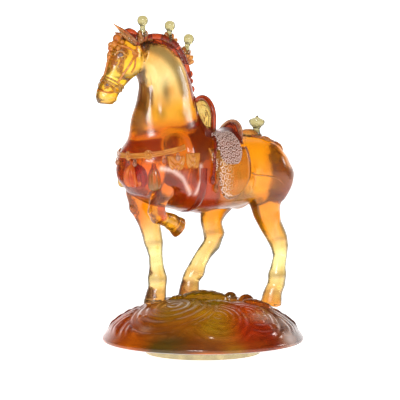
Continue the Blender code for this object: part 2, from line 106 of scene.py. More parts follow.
def spread(points, count):  # evenly spaced places along a given route
    points = [Vector(p) for p in points]
    steps = [(q - p).length for p, q in zip(points, points[1:])]
    route = []
    for i in range(count):
        distance = sum(steps) * i / (count - 1)
        for p, q, step in zip(points, points[1:], steps):
            if distance <= step or q is points[-1]:
                route.append(p.lerp(q, min(1, distance / step)))
                break
            distance -= step
    return route


def coordinates(obj):
    points = np.empty(len(obj.data.vertices) * 3)
    obj.data.vertices.foreach_get("co", points)
    return points.reshape(-1, 3)


def softWeight(points, place, reach):
    away = (points - np.array(place) * mm) / (np.array(reach) * mm)
    near = np.clip(1 - np.sqrt((away ** 2).sum(axis=1)), 0, 1)
    return near * near * (3 - 2 * near)


def paintTone(obj, ground, strokes, frostAndGlints=()):  # frost and painted highlight streaks are kept in the colour's alpha
    points = coordinates(obj)
    frostAndGlint = np.zeros(len(points))
    for strength, place, reach in frostAndGlints:
        frostAndGlint = np.maximum(frostAndGlint, softWeight(points, place, reach) * strength)
    tone = np.tile(np.array(ground, float), (len(points), 1))
    for colour, strength, place, reach in strokes:
        weight = np.minimum(1, softWeight(points, place, reach) * strength)[:, None]
        tone = tone * (1 - weight) + np.array(colour) * weight
    layer = obj.data.color_attributes.new("glassTone", "FLOAT_COLOR", "POINT")
    layer.data.foreach_set("color", np.hstack([tone, frostAndGlint[:, None]]).ravel())


glassPlan = {"ior": 1.5, "specular": 0.4, "grain": 3.5, "grainDepth": 0.4,
             "frostAndGlintTone": (0.95, 0.80, 0.74), "frostAndGlintClarity": 0.1}


def setInputs(node, values):
    for key, value in values.items():
        node.inputs[key].default_value = value


def addNode(tree, kind, values={}, **settings):
    node = tree.nodes.new("ShaderNode" + kind)
    for key, value in settings.items():
        setattr(node, key, value)
    setInputs(node, values)
    return node


def castGlass(name, toneA, toneB, patch=18, roughness=0.2, clarity=0.8, relief=0.15, painted=False):
    material = bpy.data.materials.new(name)
    material.use_nodes = True
    tree = material.node_tree
    link = tree.links.new
    shader = tree.nodes["Principled BSDF"]
    setInputs(shader, {"Transmission Weight": clarity, "IOR": glassPlan["ior"],
                       "Specular IOR Level": glassPlan["specular"]})
    place = addNode(tree, "TexCoord").outputs["Object"]
    # slow swirls of colour in the melt
    cloud = addNode(tree, "TexNoise", {"Scale": 1 / (patch * mm), "Detail": 3, "Distortion": 0.8})
    link(place, cloud.inputs["Vector"])
    swirl = addNode(tree, "MapRange", {"From Min": 0.32, "From Max": 0.68})
    link(cloud.outputs["Fac"], swirl.inputs["Value"])
    mix = addNode(tree, "Mix", {6: (*toneA, 1), 7: (*toneB, 1)}, data_type="RGBA")
    link(swirl.outputs["Result"], mix.inputs[0])
    colour = mix.outputs[2]
    if painted:
        layer = addNode(tree, "VertexColor", layer_name="glassTone")
        shade = addNode(tree, "Mix", {0: 1.0}, data_type="RGBA", blend_type="MULTIPLY")
        link(layer.outputs["Color"], shade.inputs[6])
        link(colour, shade.inputs[7])
        # frosted relief and painted highlight streaks are whitish and hardly let light through
        whiten = addNode(tree, "Mix", {7: (*glassPlan["frostAndGlintTone"], 1)}, data_type="RGBA")
        link(layer.outputs["Alpha"], whiten.inputs[0])
        link(shade.outputs[2], whiten.inputs[6])
        colour = whiten.outputs[2]
        veil = addNode(tree, "MapRange", {"To Min": clarity, "To Max": glassPlan["frostAndGlintClarity"]})
        link(layer.outputs["Alpha"], veil.inputs["Value"])
        link(veil.outputs["Result"], shader.inputs["Transmission Weight"])
    link(colour, shader.inputs["Base Color"])
    satin = addNode(tree, "MapRange", {"To Min": roughness * 0.7, "To Max": roughness * 1.3})
    link(cloud.outputs["Fac"], satin.inputs["Value"])
    link(satin.outputs["Result"], shader.inputs["Roughness"])
    # the skin left by the mould
    grain = addNode(tree, "TexNoise", {"Scale": 1 / (glassPlan["grain"] * mm), "Detail": 4})
    link(place, grain.inputs["Vector"])
    bump = addNode(tree, "Bump", {"Strength": relief, "Distance": glassPlan["grainDepth"] * mm})
    link(grain.outputs["Fac"], bump.inputs["Height"])
    link(bump.outputs["Normal"], shader.inputs["Normal"])


# the horse is one casting, so its CAD nodes are fused and then sculpted
bodyPlan = {
    "nodes": (
        "torso", "neck", "head", "foreleg_left", "foreleg_right", "hindleg_left", "hindleg_right",
        "hoof_fore_left", "hoof_fore_right", "hoof_hind_left", "hoof_hind_right",
    ),
    "swell": 0.45 * mm,
    "voxel": 1.25 * mm,
    "smoothing": 7,
    "neckJoint": ((-48, 0, 232), (90, 90, 34)),  # place and reach of the blend, mm
    "neckPasses": 60,
}


def fuseNodes(name, plan):
    copies = []
    for node in plan["nodes"]:
        source = bpy.data.objects[node]
        copy = bpy.data.objects.new(name, source.data.copy())
        bpy.context.collection.objects.link(copy)
        cleanNormals(copy)
        grow = copy.modifiers.new("Swell", "DISPLACE")
        grow.strength = plan["swell"]
        grow.mid_level = 0.0
        applyModifiers(copy)
        copies.append(copy)
    fused = joinAll(copies, name)
    remesh = fused.modifiers.new("Fuse", "REMESH")
    remesh.mode = "VOXEL"
    remesh.voxel_size = plan["voxel"]
    smooth = fused.modifiers.new("Smooth", "SMOOTH")
    smooth.factor = 0.5
    smooth.iterations = plan["smoothing"]
    applyModifiers(fused)
    joint = fused.vertex_groups.new(name="neckJoint")
    weights = softWeight(coordinates(fused), *plan["neckJoint"])
    for i in np.nonzero(weights)[0]:
        joint.add([int(i)], float(min(1, weights[i] * 2)), "REPLACE")
    blend = fused.modifiers.new("Blend", "SMOOTH")
    blend.vertex_group = "neckJoint"
    blend.factor = 0.9
    blend.iterations = plan["neckPasses"]
    applyModifiers(fused)
    return fused


def sculpt(obj, strokes):  # each stroke swells (or dents) the skin round a place, on both sides
    for push, place, reach in strokes:
        points = coordinates(obj)
        normals = np.empty(len(obj.data.vertices) * 3)
        obj.data.vertices.foreach_get("normal", normals)
        normals = normals.reshape(-1, 3)
        weight = softWeight(points, place, reach)
        if place[1]:
            mirroredPlace = (place[0], -place[1], place[2])
            weight = np.maximum(weight, softWeight(points, mirroredPlace, reach))
        points += normals * (weight * push * mm)[:, None]
        obj.data.vertices.foreach_set("co", points.ravel())
        obj.data.update()


bodyStrokes = [  # push in mm, place, reach
    (2.2, (-87, 9, 284), (11, 9, 12)),  # cheek
    (-1.2, (-98, 9, 275), (10, 5, 4)),  # hollow before the cheek
    (1.6, (-105, 0, 303), (8, 9, 8)),  # forehead
    (1.7, (-101, 9.5, 297), (5, 4.5, 3.5)),  # brow over the eye
    (-1.3, (-104, 8, 289), (9, 4, 4)),  # hollow under the eye
    (-2.6, (-119.5, 5, 262), (3.2, 3.4, 3)),  # nostril
    (1.2, (-118, 6.5, 265.5), (4, 4, 3)),
    (-1.5, (-114, 7, 256.5), (7, 5, 1.6)),  # mouth
    (1.4, (-105, 0, 255), (5, 7, 4)),  # chin
    (1.6, (-118, 0, 257), (4, 6, 4)),  # upper lip
    (-1.6, (-70, 12, 274), (7, 8, 16)),  # throat
    (-1.3, (-66, 17, 250), (6, 12, 22)),
    (1.4, (-46, 20, 245), (16, 10, 26)),
    (-3.2, (-91, 0, 183), (10, 5, 20)),  # breast furrow
    (2.2, (-84, 13, 184), (12, 11, 16)),
    (1.8, (-50, 33, 205), (20, 12, 24)),  # shoulder blade
    (-2.0, (-26, 37, 184), (8, 12, 28)),
    (2.0, (-44, 30, 166), (12, 10, 12)),  # elbow
    (-3.0, (42, 34, 172), (9, 12, 24)),  # flank
    (2.6, (66, 32, 182), (24, 14, 26)),  # haunch
    (1.8, (46, 32, 156), (12, 12, 14)),  # stifle
    (-1.6, (90, 14, 172), (8, 12, 22)),
    (-1.2, (-60, 26, 150), (8, 8, 14)),
    (1.8, (-48, 18, 112), (14, 14, 9)),  # knees, hocks and fetlocks
    (1.6, (-43, 18, 75), (14, 14, 8)),
    (-1.0, (-44, 18, 67), (14, 14, 5)),
    (1.8, (80, -18, 112), (15, 14, 9)),
    (1.6, (80, -18, 75), (14, 14, 8)),
    (-1.2, (76, -18, 65), (14, 14, 5)),
    (1.8, (26, 18, 117), (15, 14, 9)),
    (1.6, (3, 18, 79), (14, 14, 8)),
    (-1.2, (-1, 18, 71), (14, 14, 5)),
    (2.0, (-68, -20, 146), (12, 12, 8)),
    (1.6, (-48, -12, 135), (9, 12, 9)),
    (-2.2, (-76, 0, 258), (9, 16, 26)),  # throat line
    (-4.5, (86, 0, 208), (24, 40, 16)),  # the croup slopes to the tail
    (-2.5, (97, 0, 192), (10, 40, 16)),
    (-5.5, (90, -26, 196), (26, 24, 30)),
    (-2.5, (-90, 24, 164), (16, 18, 14)),
    (2.5, (-6, 0, 143), (16, 24, 9)),  # belly
    (4.5, (44, 0, 148), (18, 18, 11)),  # sheath
    (7, (-74, 0, 304), (13, 12, 9)),  # poll
    (5, (-66, 0, 307), (16, 9, 7)),
]

amber = (0.84, 0.29, 0.004)
gold = (0.93, 0.58, 0.035)
pale = (0.95, 0.82, 0.36)
red = (0.50, 0.022, 0.001)
orangeRed = (0.85, 0.07, 0.001)
honey = (0.78, 0.50, 0.09)
brown = (0.15, 0.05, 0.015)
smokeAndShade = (0.13, 0.11, 0.05)

bodyTones = [  # colour, strength, place and reach in mm
    (gold, 1.2, (-104, 0, 284), (60, 60, 56)),
    (pale, 0.9, (-113, -8, 276), (12, 20, 14)),
    (pale, 0.7, (-120, 0, 258), (14, 20, 12)),
    (pale, 1.25, (-50, -10, 274), (44, 60, 44)),
    (honey, 1, (-72, 0, 244), (24, 70, 34)),
    (honey, 1.0, (-44, -20, 244), (40, 34, 20)),
    (red, 1.0, (-45, 0, 214), (90, 90, 24)),
    (red, 0.6, (-14, -20, 226), (26, 34, 16)),
    (red, 1.0, (-30, 0, 180), (70, 80, 50)),
    (orangeRed, 1.3, (-86, -10, 180), (50, 60, 40)),
    (orangeRed, 1.2, (-34, -30, 164), (40, 34, 30)),
    (orangeRed, 1.0, (-10, -20, 150), (44, 50, 24)),
    (amber, 0.7, (-52, -20, 264), (8, 14, 9)),
    (brown, 0.8, (-77, -9, 283), (6, 12, 12)),
    (smokeAndShade, 1.0, (-56, -16, 262), (8, 16, 22)),  # smoky swirl down the neck
    (smokeAndShade, 0.8, (-62, -16, 242), (8, 16, 14)),
    (brown, 0.9, (-84, -10, 232), (8, 20, 22)),
    (smokeAndShade, 0.7, (-36, -16, 240), (12, 20, 12)),
    (brown, 0.6, (-86, -6, 270), (8, 10, 5)),
    (brown, 0.7, (-116, -5, 262), (4, 6, 3)),
    (red, 0.7, (-110, 0, 250), (8, 8, 4)),
    (amber, 1.4, (36, 0, 175), (46, 80, 62)),
    (gold, 0.7, (30, -30, 158), (26, 30, 26)),
    (brown, 1.3, (86, -14, 190), (28, 50, 26)),
    (brown, 0.6, (60, -30, 186), (12, 20, 26)),
    (orangeRed, 0.9, (80, -26, 160), (20, 24, 18)),
    (amber, 0.9, (60, -24, 146), (26, 30, 20)),
    (brown, 0.7, (34, -16, 146), (20, 26, 12)),
    (pale, 1.35, (-48, 18, 92), (30, 30, 62)),
    (red, 0.7, (-70, 18, 140), (16, 30, 40)),
    (gold, 0.9, (-52, -14, 136), (34, 18, 20)),
    (amber, 0.9, (-66, -22, 160), (16, 16, 22)),
    (pale, 1.3, (10, 18, 90), (52, 16, 60)),
    (amber, 0.7, (36, 18, 142), (26, 20, 20)),
    (pale, 1.4, (80, -18, 84), (30, 20, 60)),
    (brown, 0.7, (-46, 18, 55), (18, 18, 12)),
    (smokeAndShade, 0.9, (-2, 18, 62), (18, 18, 18)),
    (smokeAndShade, 0.6, (72, -18, 52), (18, 18, 14)),
    (smokeAndShade, 0.7, (82, -18, 74), (16, 14, 7)),
    (smokeAndShade, 0.7, (-43, 18, 73), (14, 14, 6)),
    (smokeAndShade, 0.6, (26, 18, 120), (20, 14, 6)),
    (brown, 0.9, (-36, -6, 128), (12, 16, 12)),
    (orangeRed, 0.7, (-66, -18, 141), (9, 14, 8)),
]

print("horse: fusing and shaping the body")
horse = fuseNodes("horseBody", bodyPlan)
sculpt(horse, bodyStrokes)
legLines = [  # hoof to elbow or stifle, with the half width of each leg, whose edges get painted shade
    (((-46, 18, 56), (-43, 18, 72), (-44, 18, 90), (-47, 18, 108), (-51, 18, 126)), 7.5),
    (((72, -18, 50), (80, -18, 75), (84, -18, 94), (80, -18, 112), (72, -18, 128)), 7.5),
    (((-4, 18, 62), (3, 18, 78), (14, 18, 97), (25, 18, 116), (24, 19, 130)), 8),
]
toRight, away = Vector((viewCos, -viewSin, 0)), Vector((viewSin, viewCos, 0))
# painted shade down both edges of each leg as seen from the front view, and a honey tone on the side
# facing it
for route, half in legLines:
    for p in spread(route, 15):
        for side in (-1, 1):
            bodyTones.append((smokeAndShade, 1.5, tuple(p + toRight * (half + 1.5) * side), (7, 7, 9)))
        bodyTones.append((honey, 0.9, tuple(p - away * half + toRight * 0.5 * half), (3.4, 3.4, 7)))
legBands = [  # darker glass across the knees, hocks and fetlocks
    (-47, 18, 112), (-43, 18, 75), (-44, 18, 62), (80, -18, 112), (80, -18, 74), (74, -18, 58),
    (24, 18, 118), (2, 18, 78), (-3, 18, 67), (-67, -19, 146), (-48, -12, 136),
]
bodyTones += [(brown, 1.4, place, (14, 14, 5)) for place in legBands]
# a dark band of painted shade down the neck beside the mane crest
besideMane = [(-72, 0, 308), (-55, 0, 301), (-43, 0, 289), (-36, 0, 273), (-34, 0, 260)]
bodyTones += [(smokeAndShade, 1.0, (p.x, -13, p.z), (11, 26, 11)) for p in spread(besideMane, 16)]

glints = [  # strength, route over the left flank and width of each painted highlight streak
    (0.8, ((-72, 189), (-62, 187), (-50, 179), (-38, 163)), 5),
    (0.8, ((-27, 190), (-26, 178), (-31, 163)), 4.5),
    (0.45, ((97, 200), (99, 184), (94, 166)), 8),
    (0.3, ((-15, 250), (-10, 232), (-4, 218)), 6),
]
bodyPaintedGlints = []
for strength, route, width in glints:
    for p in spread([(x, 0, z) for x, z in route], 16):
        bodyPaintedGlints.append((strength, (p.x, -38, p.z), (width, 40, width)))
paintTone(horse, amber, bodyTones, bodyPaintedGlints)
castGlass("bodyGlass", (1, 1, 1), (0.86, 0.72, 0.5), patch=20, roughness=0.2, clarity=0.95, painted=True)
finishPiece(horse, "bodyGlass", *bodyPlan["nodes"])
horseSkin = BVHTree.FromObject(horse, bpy.context.evaluated_depsgraph_get())


def castFrom(origin, toward):
    place, normal = horseSkin.ray_cast(Vector(origin) * mm, Vector(toward).normalized())[:2]
    if place is None:
        place, normal = horseSkin.find_nearest(Vector(origin) * mm)[:2]
    return place, normal


def onFlank(x, z, side):  # side -1 is the horse's left
    return castFrom((x, 200 * side, z), (0, -side, 0))


def aroundChest(angle, z):  # 0 is straight ahead, positive turns to the horse's left
    turn = radians(angle)
    outward = Vector((-cos(turn), -sin(turn), 0))
    return castFrom(Vector((-52, 0, z)) + outward * 200, -outward)


def onBack(x, y):
    return castFrom((x, y, 300), (0, 0, -1))


def onHead(along, angle):  # along runs from the poll to the lips, angle 0 is the face, 90 the left cheek
    axis = Vector((-0.5, 0, -0.866))
    face = Vector((-0.866, 0, 0.5))
    turn = radians(angle)
    outward = face * cos(turn) + Vector((0, -1, 0)) * sin(turn)
    return castFrom(Vector((-92, 0, 295)) + axis * along + outward * 24, -outward)


def loft(bm, loops):
    count = len(loops[0])
    for low, high in zip(loops, loops[1:]):
        for k in range(count):
            n = (k + 1) % count
            bm.faces.new((low[k], high[k], high[n], low[n]))


def meshObject(name, bm):
    bmesh.ops.recalc_face_normals(bm, faces=bm.faces)
    mesh = bpy.data.meshes.new(name)
    bm.to_mesh(mesh)
    bm.free()
    obj = bpy.data.objects.new(name, mesh)
    bpy.context.collection.objects.link(obj)
    return obj


def tube(name, places, radius, closed=False, taper=None, sides=4):
    curve = bpy.data.curves.new(name, "CURVE")
    curve.dimensions = "3D"
    curve.bevel_depth = radius * mm
    curve.bevel_resolution = sides
    curve.use_fill_caps = True
    curve.resolution_u = 6
    spline = curve.splines.new("BEZIER")
    spline.bezier_points.add(len(places) - 1)
    spline.use_cyclic_u = closed
    for i, (point, place) in enumerate(zip(spline.bezier_points, places)):
        point.co = place
        point.handle_left_type = "AUTO"
        point.handle_right_type = "AUTO"
        point.radius = taper(i / (len(places) - 1)) if taper else 1.0
    obj = bpy.data.objects.new(name, curve)
    bpy.context.collection.objects.link(obj)
    pick(obj)
    bpy.ops.object.convert(target="MESH")
    obj = bpy.context.object
    cleanNormals(obj)
    return obj


def ball(place, size, segments=20, normal=None):
    bpy.ops.mesh.primitive_uv_sphere_add(segments=segments, ring_count=segments // 2, radius=1)
    obj = bpy.context.object
    obj.scale = Vector(size) * mm
    obj.location = place
    if normal is not None:
        obj.rotation_mode = "QUATERNION"
        obj.rotation_quaternion = normal.to_track_quat("Z", "Y")
    bakePlace(obj)
    return obj


def ring(place, normal, major, minor, steps=24):
    bpy.ops.mesh.primitive_torus_add(
        major_radius=major * mm, minor_radius=minor * mm, major_segments=steps, minor_segments=8,
        location=place, rotation=normal.to_track_quat("Z", "Y").to_euler(),
    )
    obj = bpy.context.object
    bakePlace(obj)
    return obj


def turned(name, profile, steps=32):  # radius and height, bottom to top
    first = profile[0]
    bpy.ops.mesh.primitive_circle_add(vertices=steps, radius=first[0] * mm, fill_type="NGON",
                                      location=(0, 0, first[1] * mm))
    obj = bpy.context.object
    obj.name = name
    bpy.ops.object.mode_set(mode="EDIT")
    bpy.ops.mesh.select_all(action="SELECT")
    for before, after in zip(profile, profile[1:]):
        bpy.ops.mesh.extrude_region_move(
            TRANSFORM_OT_translate={"value": (0, 0, (after[1] - before[1]) * mm)}
        )
        grow = after[0] / before[0]
        bpy.ops.transform.resize(value=(grow, grow, 1))
    bpy.ops.mesh.select_all(action="SELECT")
    bpy.ops.mesh.normals_make_consistent(inside=False)
    bpy.ops.object.mode_set(mode="OBJECT")
    return obj


def stand(obj, place, normal):
    obj.rotation_mode = "QUATERNION"
    obj.rotation_quaternion = normal.to_track_quat("Z", "Y")
    obj.location = place
    bakePlace(obj)
    return obj


def rosette(name, place, normal, radius, petals=6):
    quat = normal.to_track_quat("Z", "Y")
    pieces = [ball(place + normal * 0.5 * mm, (radius * 0.42, radius * 0.42, radius * 0.42), 16, normal)]
    for i in range(petals):
        turn = 2 * pi * i / petals
        arm = quat @ Vector((cos(turn), sin(turn), 0))
        pieces.append(ball(place + arm * radius * 0.62 * mm,
                           (radius * 0.36, radius * 0.36, radius * 0.3), 12, normal))
    pieces.append(ring(place, normal, radius * 0.98, radius * 0.13))
    return joinAll(pieces, name)


def laidPatch(name, across, down, findSkin, height, depth=0.8, toneAt=None):
    bm = bmesh.new()
    top, under = [], []
    for j in range(down + 1):
        for i in range(across + 1):
            u, v = i / across, j / down
            place, normal = findSkin(u, v)
            edge = min(u, 1 - u, v, 1 - v)
            lift = height(u, v) * sqrt(min(1.0, edge / 0.06))  # rounded off at the edge
            top.append(bm.verts.new(place + normal * lift * mm))
            under.append(bm.verts.new(place - normal * depth * mm))
    wide = across + 1
    for j in range(down):
        for i in range(across):
            a, b = j * wide + i, j * wide + i + 1
            c, d = b + wide, a + wide
            bm.faces.new((top[a], top[b], top[c], top[d]))
            bm.faces.new((under[d], under[c], under[b], under[a]))
    rim = [i for i in range(wide)] + [j * wide + across for j in range(1, down + 1)]
    rim += [down * wide + i for i in range(across - 1, -1, -1)]
    rim += [j * wide for j in range(down - 1, 0, -1)]
    for p, q in zip(rim, rim[1:] + rim[:1]):
        bm.faces.new((top[q], top[p], under[p], under[q]))
    obj = meshObject(name, bm)
    if toneAt:
        layer = obj.data.color_attributes.new("glassTone", "FLOAT_COLOR", "POINT")
        tones = []
        for j in range(down + 1):
            for i in range(wide):
                tone = toneAt(i / across, j / down)
                tones += [tone, tone]
        layer.data.foreach_set("color", np.array(tones, float).ravel())
    return obj


def ribbon(name, route, width, thick):  # route is a list of (place, normal)
    bm = bmesh.new()
    loops = []
    for i, (place, normal) in enumerate(route):
        ahead = route[min(i + 1, len(route) - 1)][0] - route[max(i - 1, 0)][0]
        side = normal.cross(ahead).normalized()
        loop = []
        for k in range(10):
            turn = 2 * pi * k / 10
            offset = side * cos(turn) * width / 2 + normal * sin(turn) * thick
            loop.append(bm.verts.new(place + offset * mm))
        loops.append(loop)
    loft(bm, loops)
    bm.faces.new(list(reversed(loops[0])))
    bm.faces.new(loops[-1])
    return meshObject(name, bm)


glassTones = {  # the two tones of each melt, then what differs from the usual glass
    "amberGlass": ((0.82, 0.40, 0.03), (0.55, 0.16, 0.03), {"patch": 10}),
    "redGlass": ((0.62, 0.08, 0.01), (0.38, 0.05, 0.02), {"patch": 10}),
    "roseGlass": ((0.86, 0.48, 0.26), (0.50, 0.13, 0.05), {"patch": 7, "roughness": 0.26, "clarity": 0.6}),
    "goldGlass": ((0.90, 0.66, 0.20), (0.72, 0.40, 0.08), {"patch": 8, "clarity": 0.85}),
    "discGlass": ((0.40, 0.30, 0.11), (0.20, 0.15, 0.06), {"roughness": 0.12, "clarity": 0.6}),
    "clearGlass": ((0.66, 0.60, 0.30), (0.48, 0.40, 0.16), {"roughness": 0.05, "clarity": 1}),
    "leafGlass": ((0.88, 0.42, 0.10), (0.60, 0.10, 0.02), {"patch": 6, "clarity": 0.6}),
    "tasselGlass": ((0.90, 0.20, 0.02), (0.62, 0.06, 0.01), {"patch": 9, "clarity": 0.35}),
    "eyeGlass": ((0.45, 0.30, 0.26), (0.25, 0.14, 0.12), {"patch": 4, "roughness": 0.08, "clarity": 0.5}),
    "clearPainted": ((1, 1, 1), (0.85, 0.8, 0.7),
                     {"patch": 6, "roughness": 0.07, "clarity": 0.9, "relief": 0.4, "painted": True}),
    "cordGlass": ((0.90, 0.38, 0.05), (0.70, 0.20, 0.03), {"patch": 9, "clarity": 0.4}),
    "paintedGlass": ((1, 1, 1), (0.85, 0.74, 0.6), {"patch": 14, "clarity": 0.75, "painted": True}),
}
for name, (light, dark, extra) in glassTones.items():
    castGlass(name, light, dark, **extra)

print("base: dome with carved cloud waves")
basePlan = {"rings": 170, "spokes": 400, "relief": 1.0, "lip": 22}
domeOutline = [  # radius and height down the outer side, mm
    (0, 55.4), (24, 54.0), (44, 51.0), (59, 46.6), (73, 40.2), (83, 34.0), (91, 27.6), (97.4, 21.2),
    (101.4, 15.4), (100.6, 12.4), (96, 11.2), (88, 10), (74, 8.4), (60, 6.6),
]


def fromFront(across, near, z=0):  # the base is dressed for a view from the horse's left front
    return (viewCos * across - viewSin * near, -viewSin * across - viewCos * near, z)


waveFans = [  # across, near, reach and spacing of each fan of ripples, the later over the earlier
    (-60, -60, 40, 8), (60, -60, 40, 8), (0, -75, 40, 8), (-90, -10, 34, 8), (90, -10, 34, 8),
    (0, -20, 30, 7), (-78, 36, 38, 8.5), (-50, 62, 40, 8), (74, 42, 44, 9), (45, 46, 32, 7),
    (15, 66, 33, 6.4), (-28, 38, 44, 8.2),
]
leafLobes = [  # across, near, half length, half width, turn and height of the raised leaves
    (1, 12, 24, 12, 0, 8.4), (12, 34, 17, 7, -12, 3.4), (-50, 18, 14, 6, 60, 2.6),
    (52, 10, 15, 7, -30, 5.2), (27, 8, 7, 6, 0, 7.6), (43, 4, 8, 6, 0, 7.0),
    (-24, 16, 11, 6, 20, 5.4), (62, 8, 7, 5, -20, 5.0),
]
dotRows = [  # across, near, radius and height of the pearls
    (39, 40, 1.9, 1.8), (46, 52, 2.0, 1.8), (57, 34, 2.2, 2), (61, 46, 1.8, 1.8), (57, 56, 1.9, 1.8),
    (65, 58, 1.8, 1.6), (70, 50, 2.2, 1.8), (77, 56, 2.2, 1.8), (69, 66, 2.0, 1.6), (82, 50, 2.0, 1.6),
    (50, 62, 1.6, 1.5), (33, 46, 1.5, 1.5), (-8, 30, 1.7, 1.8), (-2, 36, 1.6, 1.6), (5, 40, 1.6, 1.6),
    (-62, 40, 1.8, 1.6), (-56, 46, 1.6, 1.5),
]


def waveRelief(modelX, modelY):
    x, y, _ = fromFront(modelX, modelY)
    lift = 0.0
    for cx, cy, reach, spacing in waveFans:
        away = hypot(x - cx, y - cy)
        if away < reach:
            swell = 1.0 - (away / reach) ** 3
            line = 0.5 + 0.5 * cos(2 * pi * away / spacing)
            lift = 0.4 + 1.9 * swell + 0.9 * line ** 0.8
    for cx, cy, halfLength, halfWidth, turn, height in leafLobes:
        c, s = cos(radians(turn)), sin(radians(turn))
        along = ((x - cx) * c + (y - cy) * s) / halfLength
        across = ((y - cy) * c - (x - cx) * s) / halfWidth
        reach = along * along + across * across
        if reach < 1:
            vein = 0.35 * cos(along * 16 + abs(across) * 5)
            lift = max(lift, 1 + height * sqrt(1 - reach) + vein * (1 - reach))
    for cx, cy, radius, height in dotRows:
        away = hypot(x - cx, y - cy) / radius
        if away < 1:
            lift += height * sqrt(1 - away * away)
    return lift


def buildDome():
    smoothOutline = spread([(r, 0, h) for r, h in domeOutline], basePlan["rings"])
    bm = bmesh.new()
    loops = []
    for p in smoothOutline[1:]:
        r, h = p.x, p.z
        fade = max(0.0, min(1.0, (h - basePlan["lip"]) / 5))
        loop = []
        for k in range(basePlan["spokes"]):
            turn = 2 * pi * k / basePlan["spokes"]
            x, y = r * cos(turn), r * sin(turn)
            lift = waveRelief(x, y) * fade * basePlan["relief"] * (h > basePlan["lip"])
            slope = Vector((x / 100 * 0.6, y / 100 * 0.6, 1)).normalized()
            loop.append(bm.verts.new((Vector((x, y, h)) + slope * lift) * mm))
        loops.append(loop)
    crown = bm.verts.new((0, 0, (domeOutline[0][1] + waveRelief(0, 0) * basePlan["relief"]) * mm))
    for low, high in zip(loops[0], loops[0][1:] + loops[0][:1]):
        bm.faces.new((crown, low, high))
    loft(bm, loops)
    bm.faces.new(list(reversed(loops[-1])))
    obj = meshObject("cloudBase", bm)
    soften = obj.modifiers.new("Soften", "SMOOTH")
    soften.factor = 0.5
    soften.iterations = 4
    applyModifiers(obj)
    return obj


olive = (0.36, 0.30, 0.004)
darkGreen = (0.045, 0.055, 0.002)
baseTones = [(tone, strength, fromFront(*place), reach) for tone, strength, place, reach in (
    ((0.95, 0.13, 0.002), 1.7, (-100, 16, 22), (80, 90, 44)),
    (brown, 0.3, (-66, 52, 34), (36, 36, 16)),
    ((0.98, 0.22, 0.001), 1.5, (-80, 56, 16), (34, 46, 20)),
    ((0.30, 0.12, 0.006), 1.4, (-24, 66, 40), (60, 60, 40)),
    (olive, 1.4, (-4, 26, 54), (64, 60, 22)),
    (olive, 1.4, (14, 76, 34), (36, 34, 26)),
    ((0.22, 0.17, 0.006), 1.0, (-30, 58, 44), (26, 26, 12)),
    (amber, 0.8, (-60, 30, 44), (26, 26, 14)),
    (darkGreen, 1.6, (-30, 92, 14), (52, 44, 26)),
    ((0.16, 0.05, 0.004), 1.3, (0, 98, 14), (36, 40, 22)),
    (olive, 1.0, (34, 92, 13), (24, 34, 16)),
    (red, 1.5, (52, 70, 30), (44, 50, 40)),
    (orangeRed, 1.0, (40, 36, 48), (32, 30, 14)),
    ((0.26, 0.03, 0.004), 1.3, (56, 80, 14), (30, 40, 20)),
    ((0.30, 0.18, 0.15), 1.5, (90, 30, 28), (46, 70, 34)),
    ((0.85, 0.24, 0.002), 1.2, (6, 100, 12), (34, 20, 4)),  # painted highlight, a thin warm line along the near rim
    ((0.60, 0.46, 0.01), 1.0, (8, 58, 44), (26, 20, 10)),
)]
baseFrost = [(strength, fromFront(*place), reach) for strength, place, reach in (
    (0.75, (88, 50, 20), (22, 30, 12)), (0.5, (84, 40, 36), (20, 30, 10)),
    (0.35, (62, 48, 42), (30, 20, 8)), (0.3, (-60, 70, 32), (18, 14, 6)),
)]
dome = buildDome()
paintTone(dome, (0.46, 0.10, 0.002), baseTones, baseFrost)
castGlass("baseGlass", (1, 1, 1), (0.7, 0.55, 0.4), patch=18, roughness=0.14, clarity=0.8, relief=0.05,
          painted=True)
finishPiece(dome, "baseGlass", "base_dome", "cloud_lobe_left", "cloud_lobe_head", "cloud_lobe_front")

print("mane, ears and forelock")
manePlan = {"ridge": 4.0, "root": (-62, 0, 262),  # the mane stands on the neck on the side of this place
            "plumes": ((-72, 316.4, 0), (-41.5, 311.4, 6), (-21.5, 298.8, 16)), "tuftLift": (0, 3, 1)}
crestLine = [(-86, 313), (-72, 314.5), (-57, 316), (-43, 313), (-31, 304.5), (-21, 287), (-17, 268),
             (-14.5, 254), (-12, 243)]
crestPlaces = [Vector((x, 0, z)) * mm for x, z in crestLine]
rootPlaces = [p.lerp(Vector(manePlan["root"]) * mm, 0.1) for p in crestPlaces]


def crestSwell(t):
    return 0.55 + 0.45 * sin(pi * min(1, t * 1.1))


crest = joinAll([tube("maneCrest", crestPlaces, manePlan["ridge"], taper=crestSwell),
                 tube("maneRoot", rootPlaces, manePlan["ridge"], taper=crestSwell)], "maneCrest")
finishPiece(crest, "redGlass", "mane_crest")
clearPlan = {"ground": (0.52, 0.46, 0.22), "dark": (0.16, 0.13, 0.05), "light": (0.85, 0.80, 0.52)}


def shadeClear(obj, centre, radius):  # painted shade on the clear glass at its sides as seen from the front view and under the bulb, and a painted highlight on top
    side = Vector((viewCos, -viewSin, 0)) * radius
    under = Vector((0, 0, radius * 0.95))
    dark, light = clearPlan["dark"], clearPlan["light"]
    strokes = [(dark, 1.1, tuple(centre + side * s), (radius * 0.62,) * 3) for s in (-1, 1)]
    strokes.append((dark, 0.9, tuple(centre - under), (radius * 1.2, radius * 1.2, radius * 0.4)))
    strokes.append((light, 0.9, tuple(centre + Vector((0, 0, 1))), (radius * 0.8,) * 3))
    paintTone(obj, clearPlan["ground"], strokes)


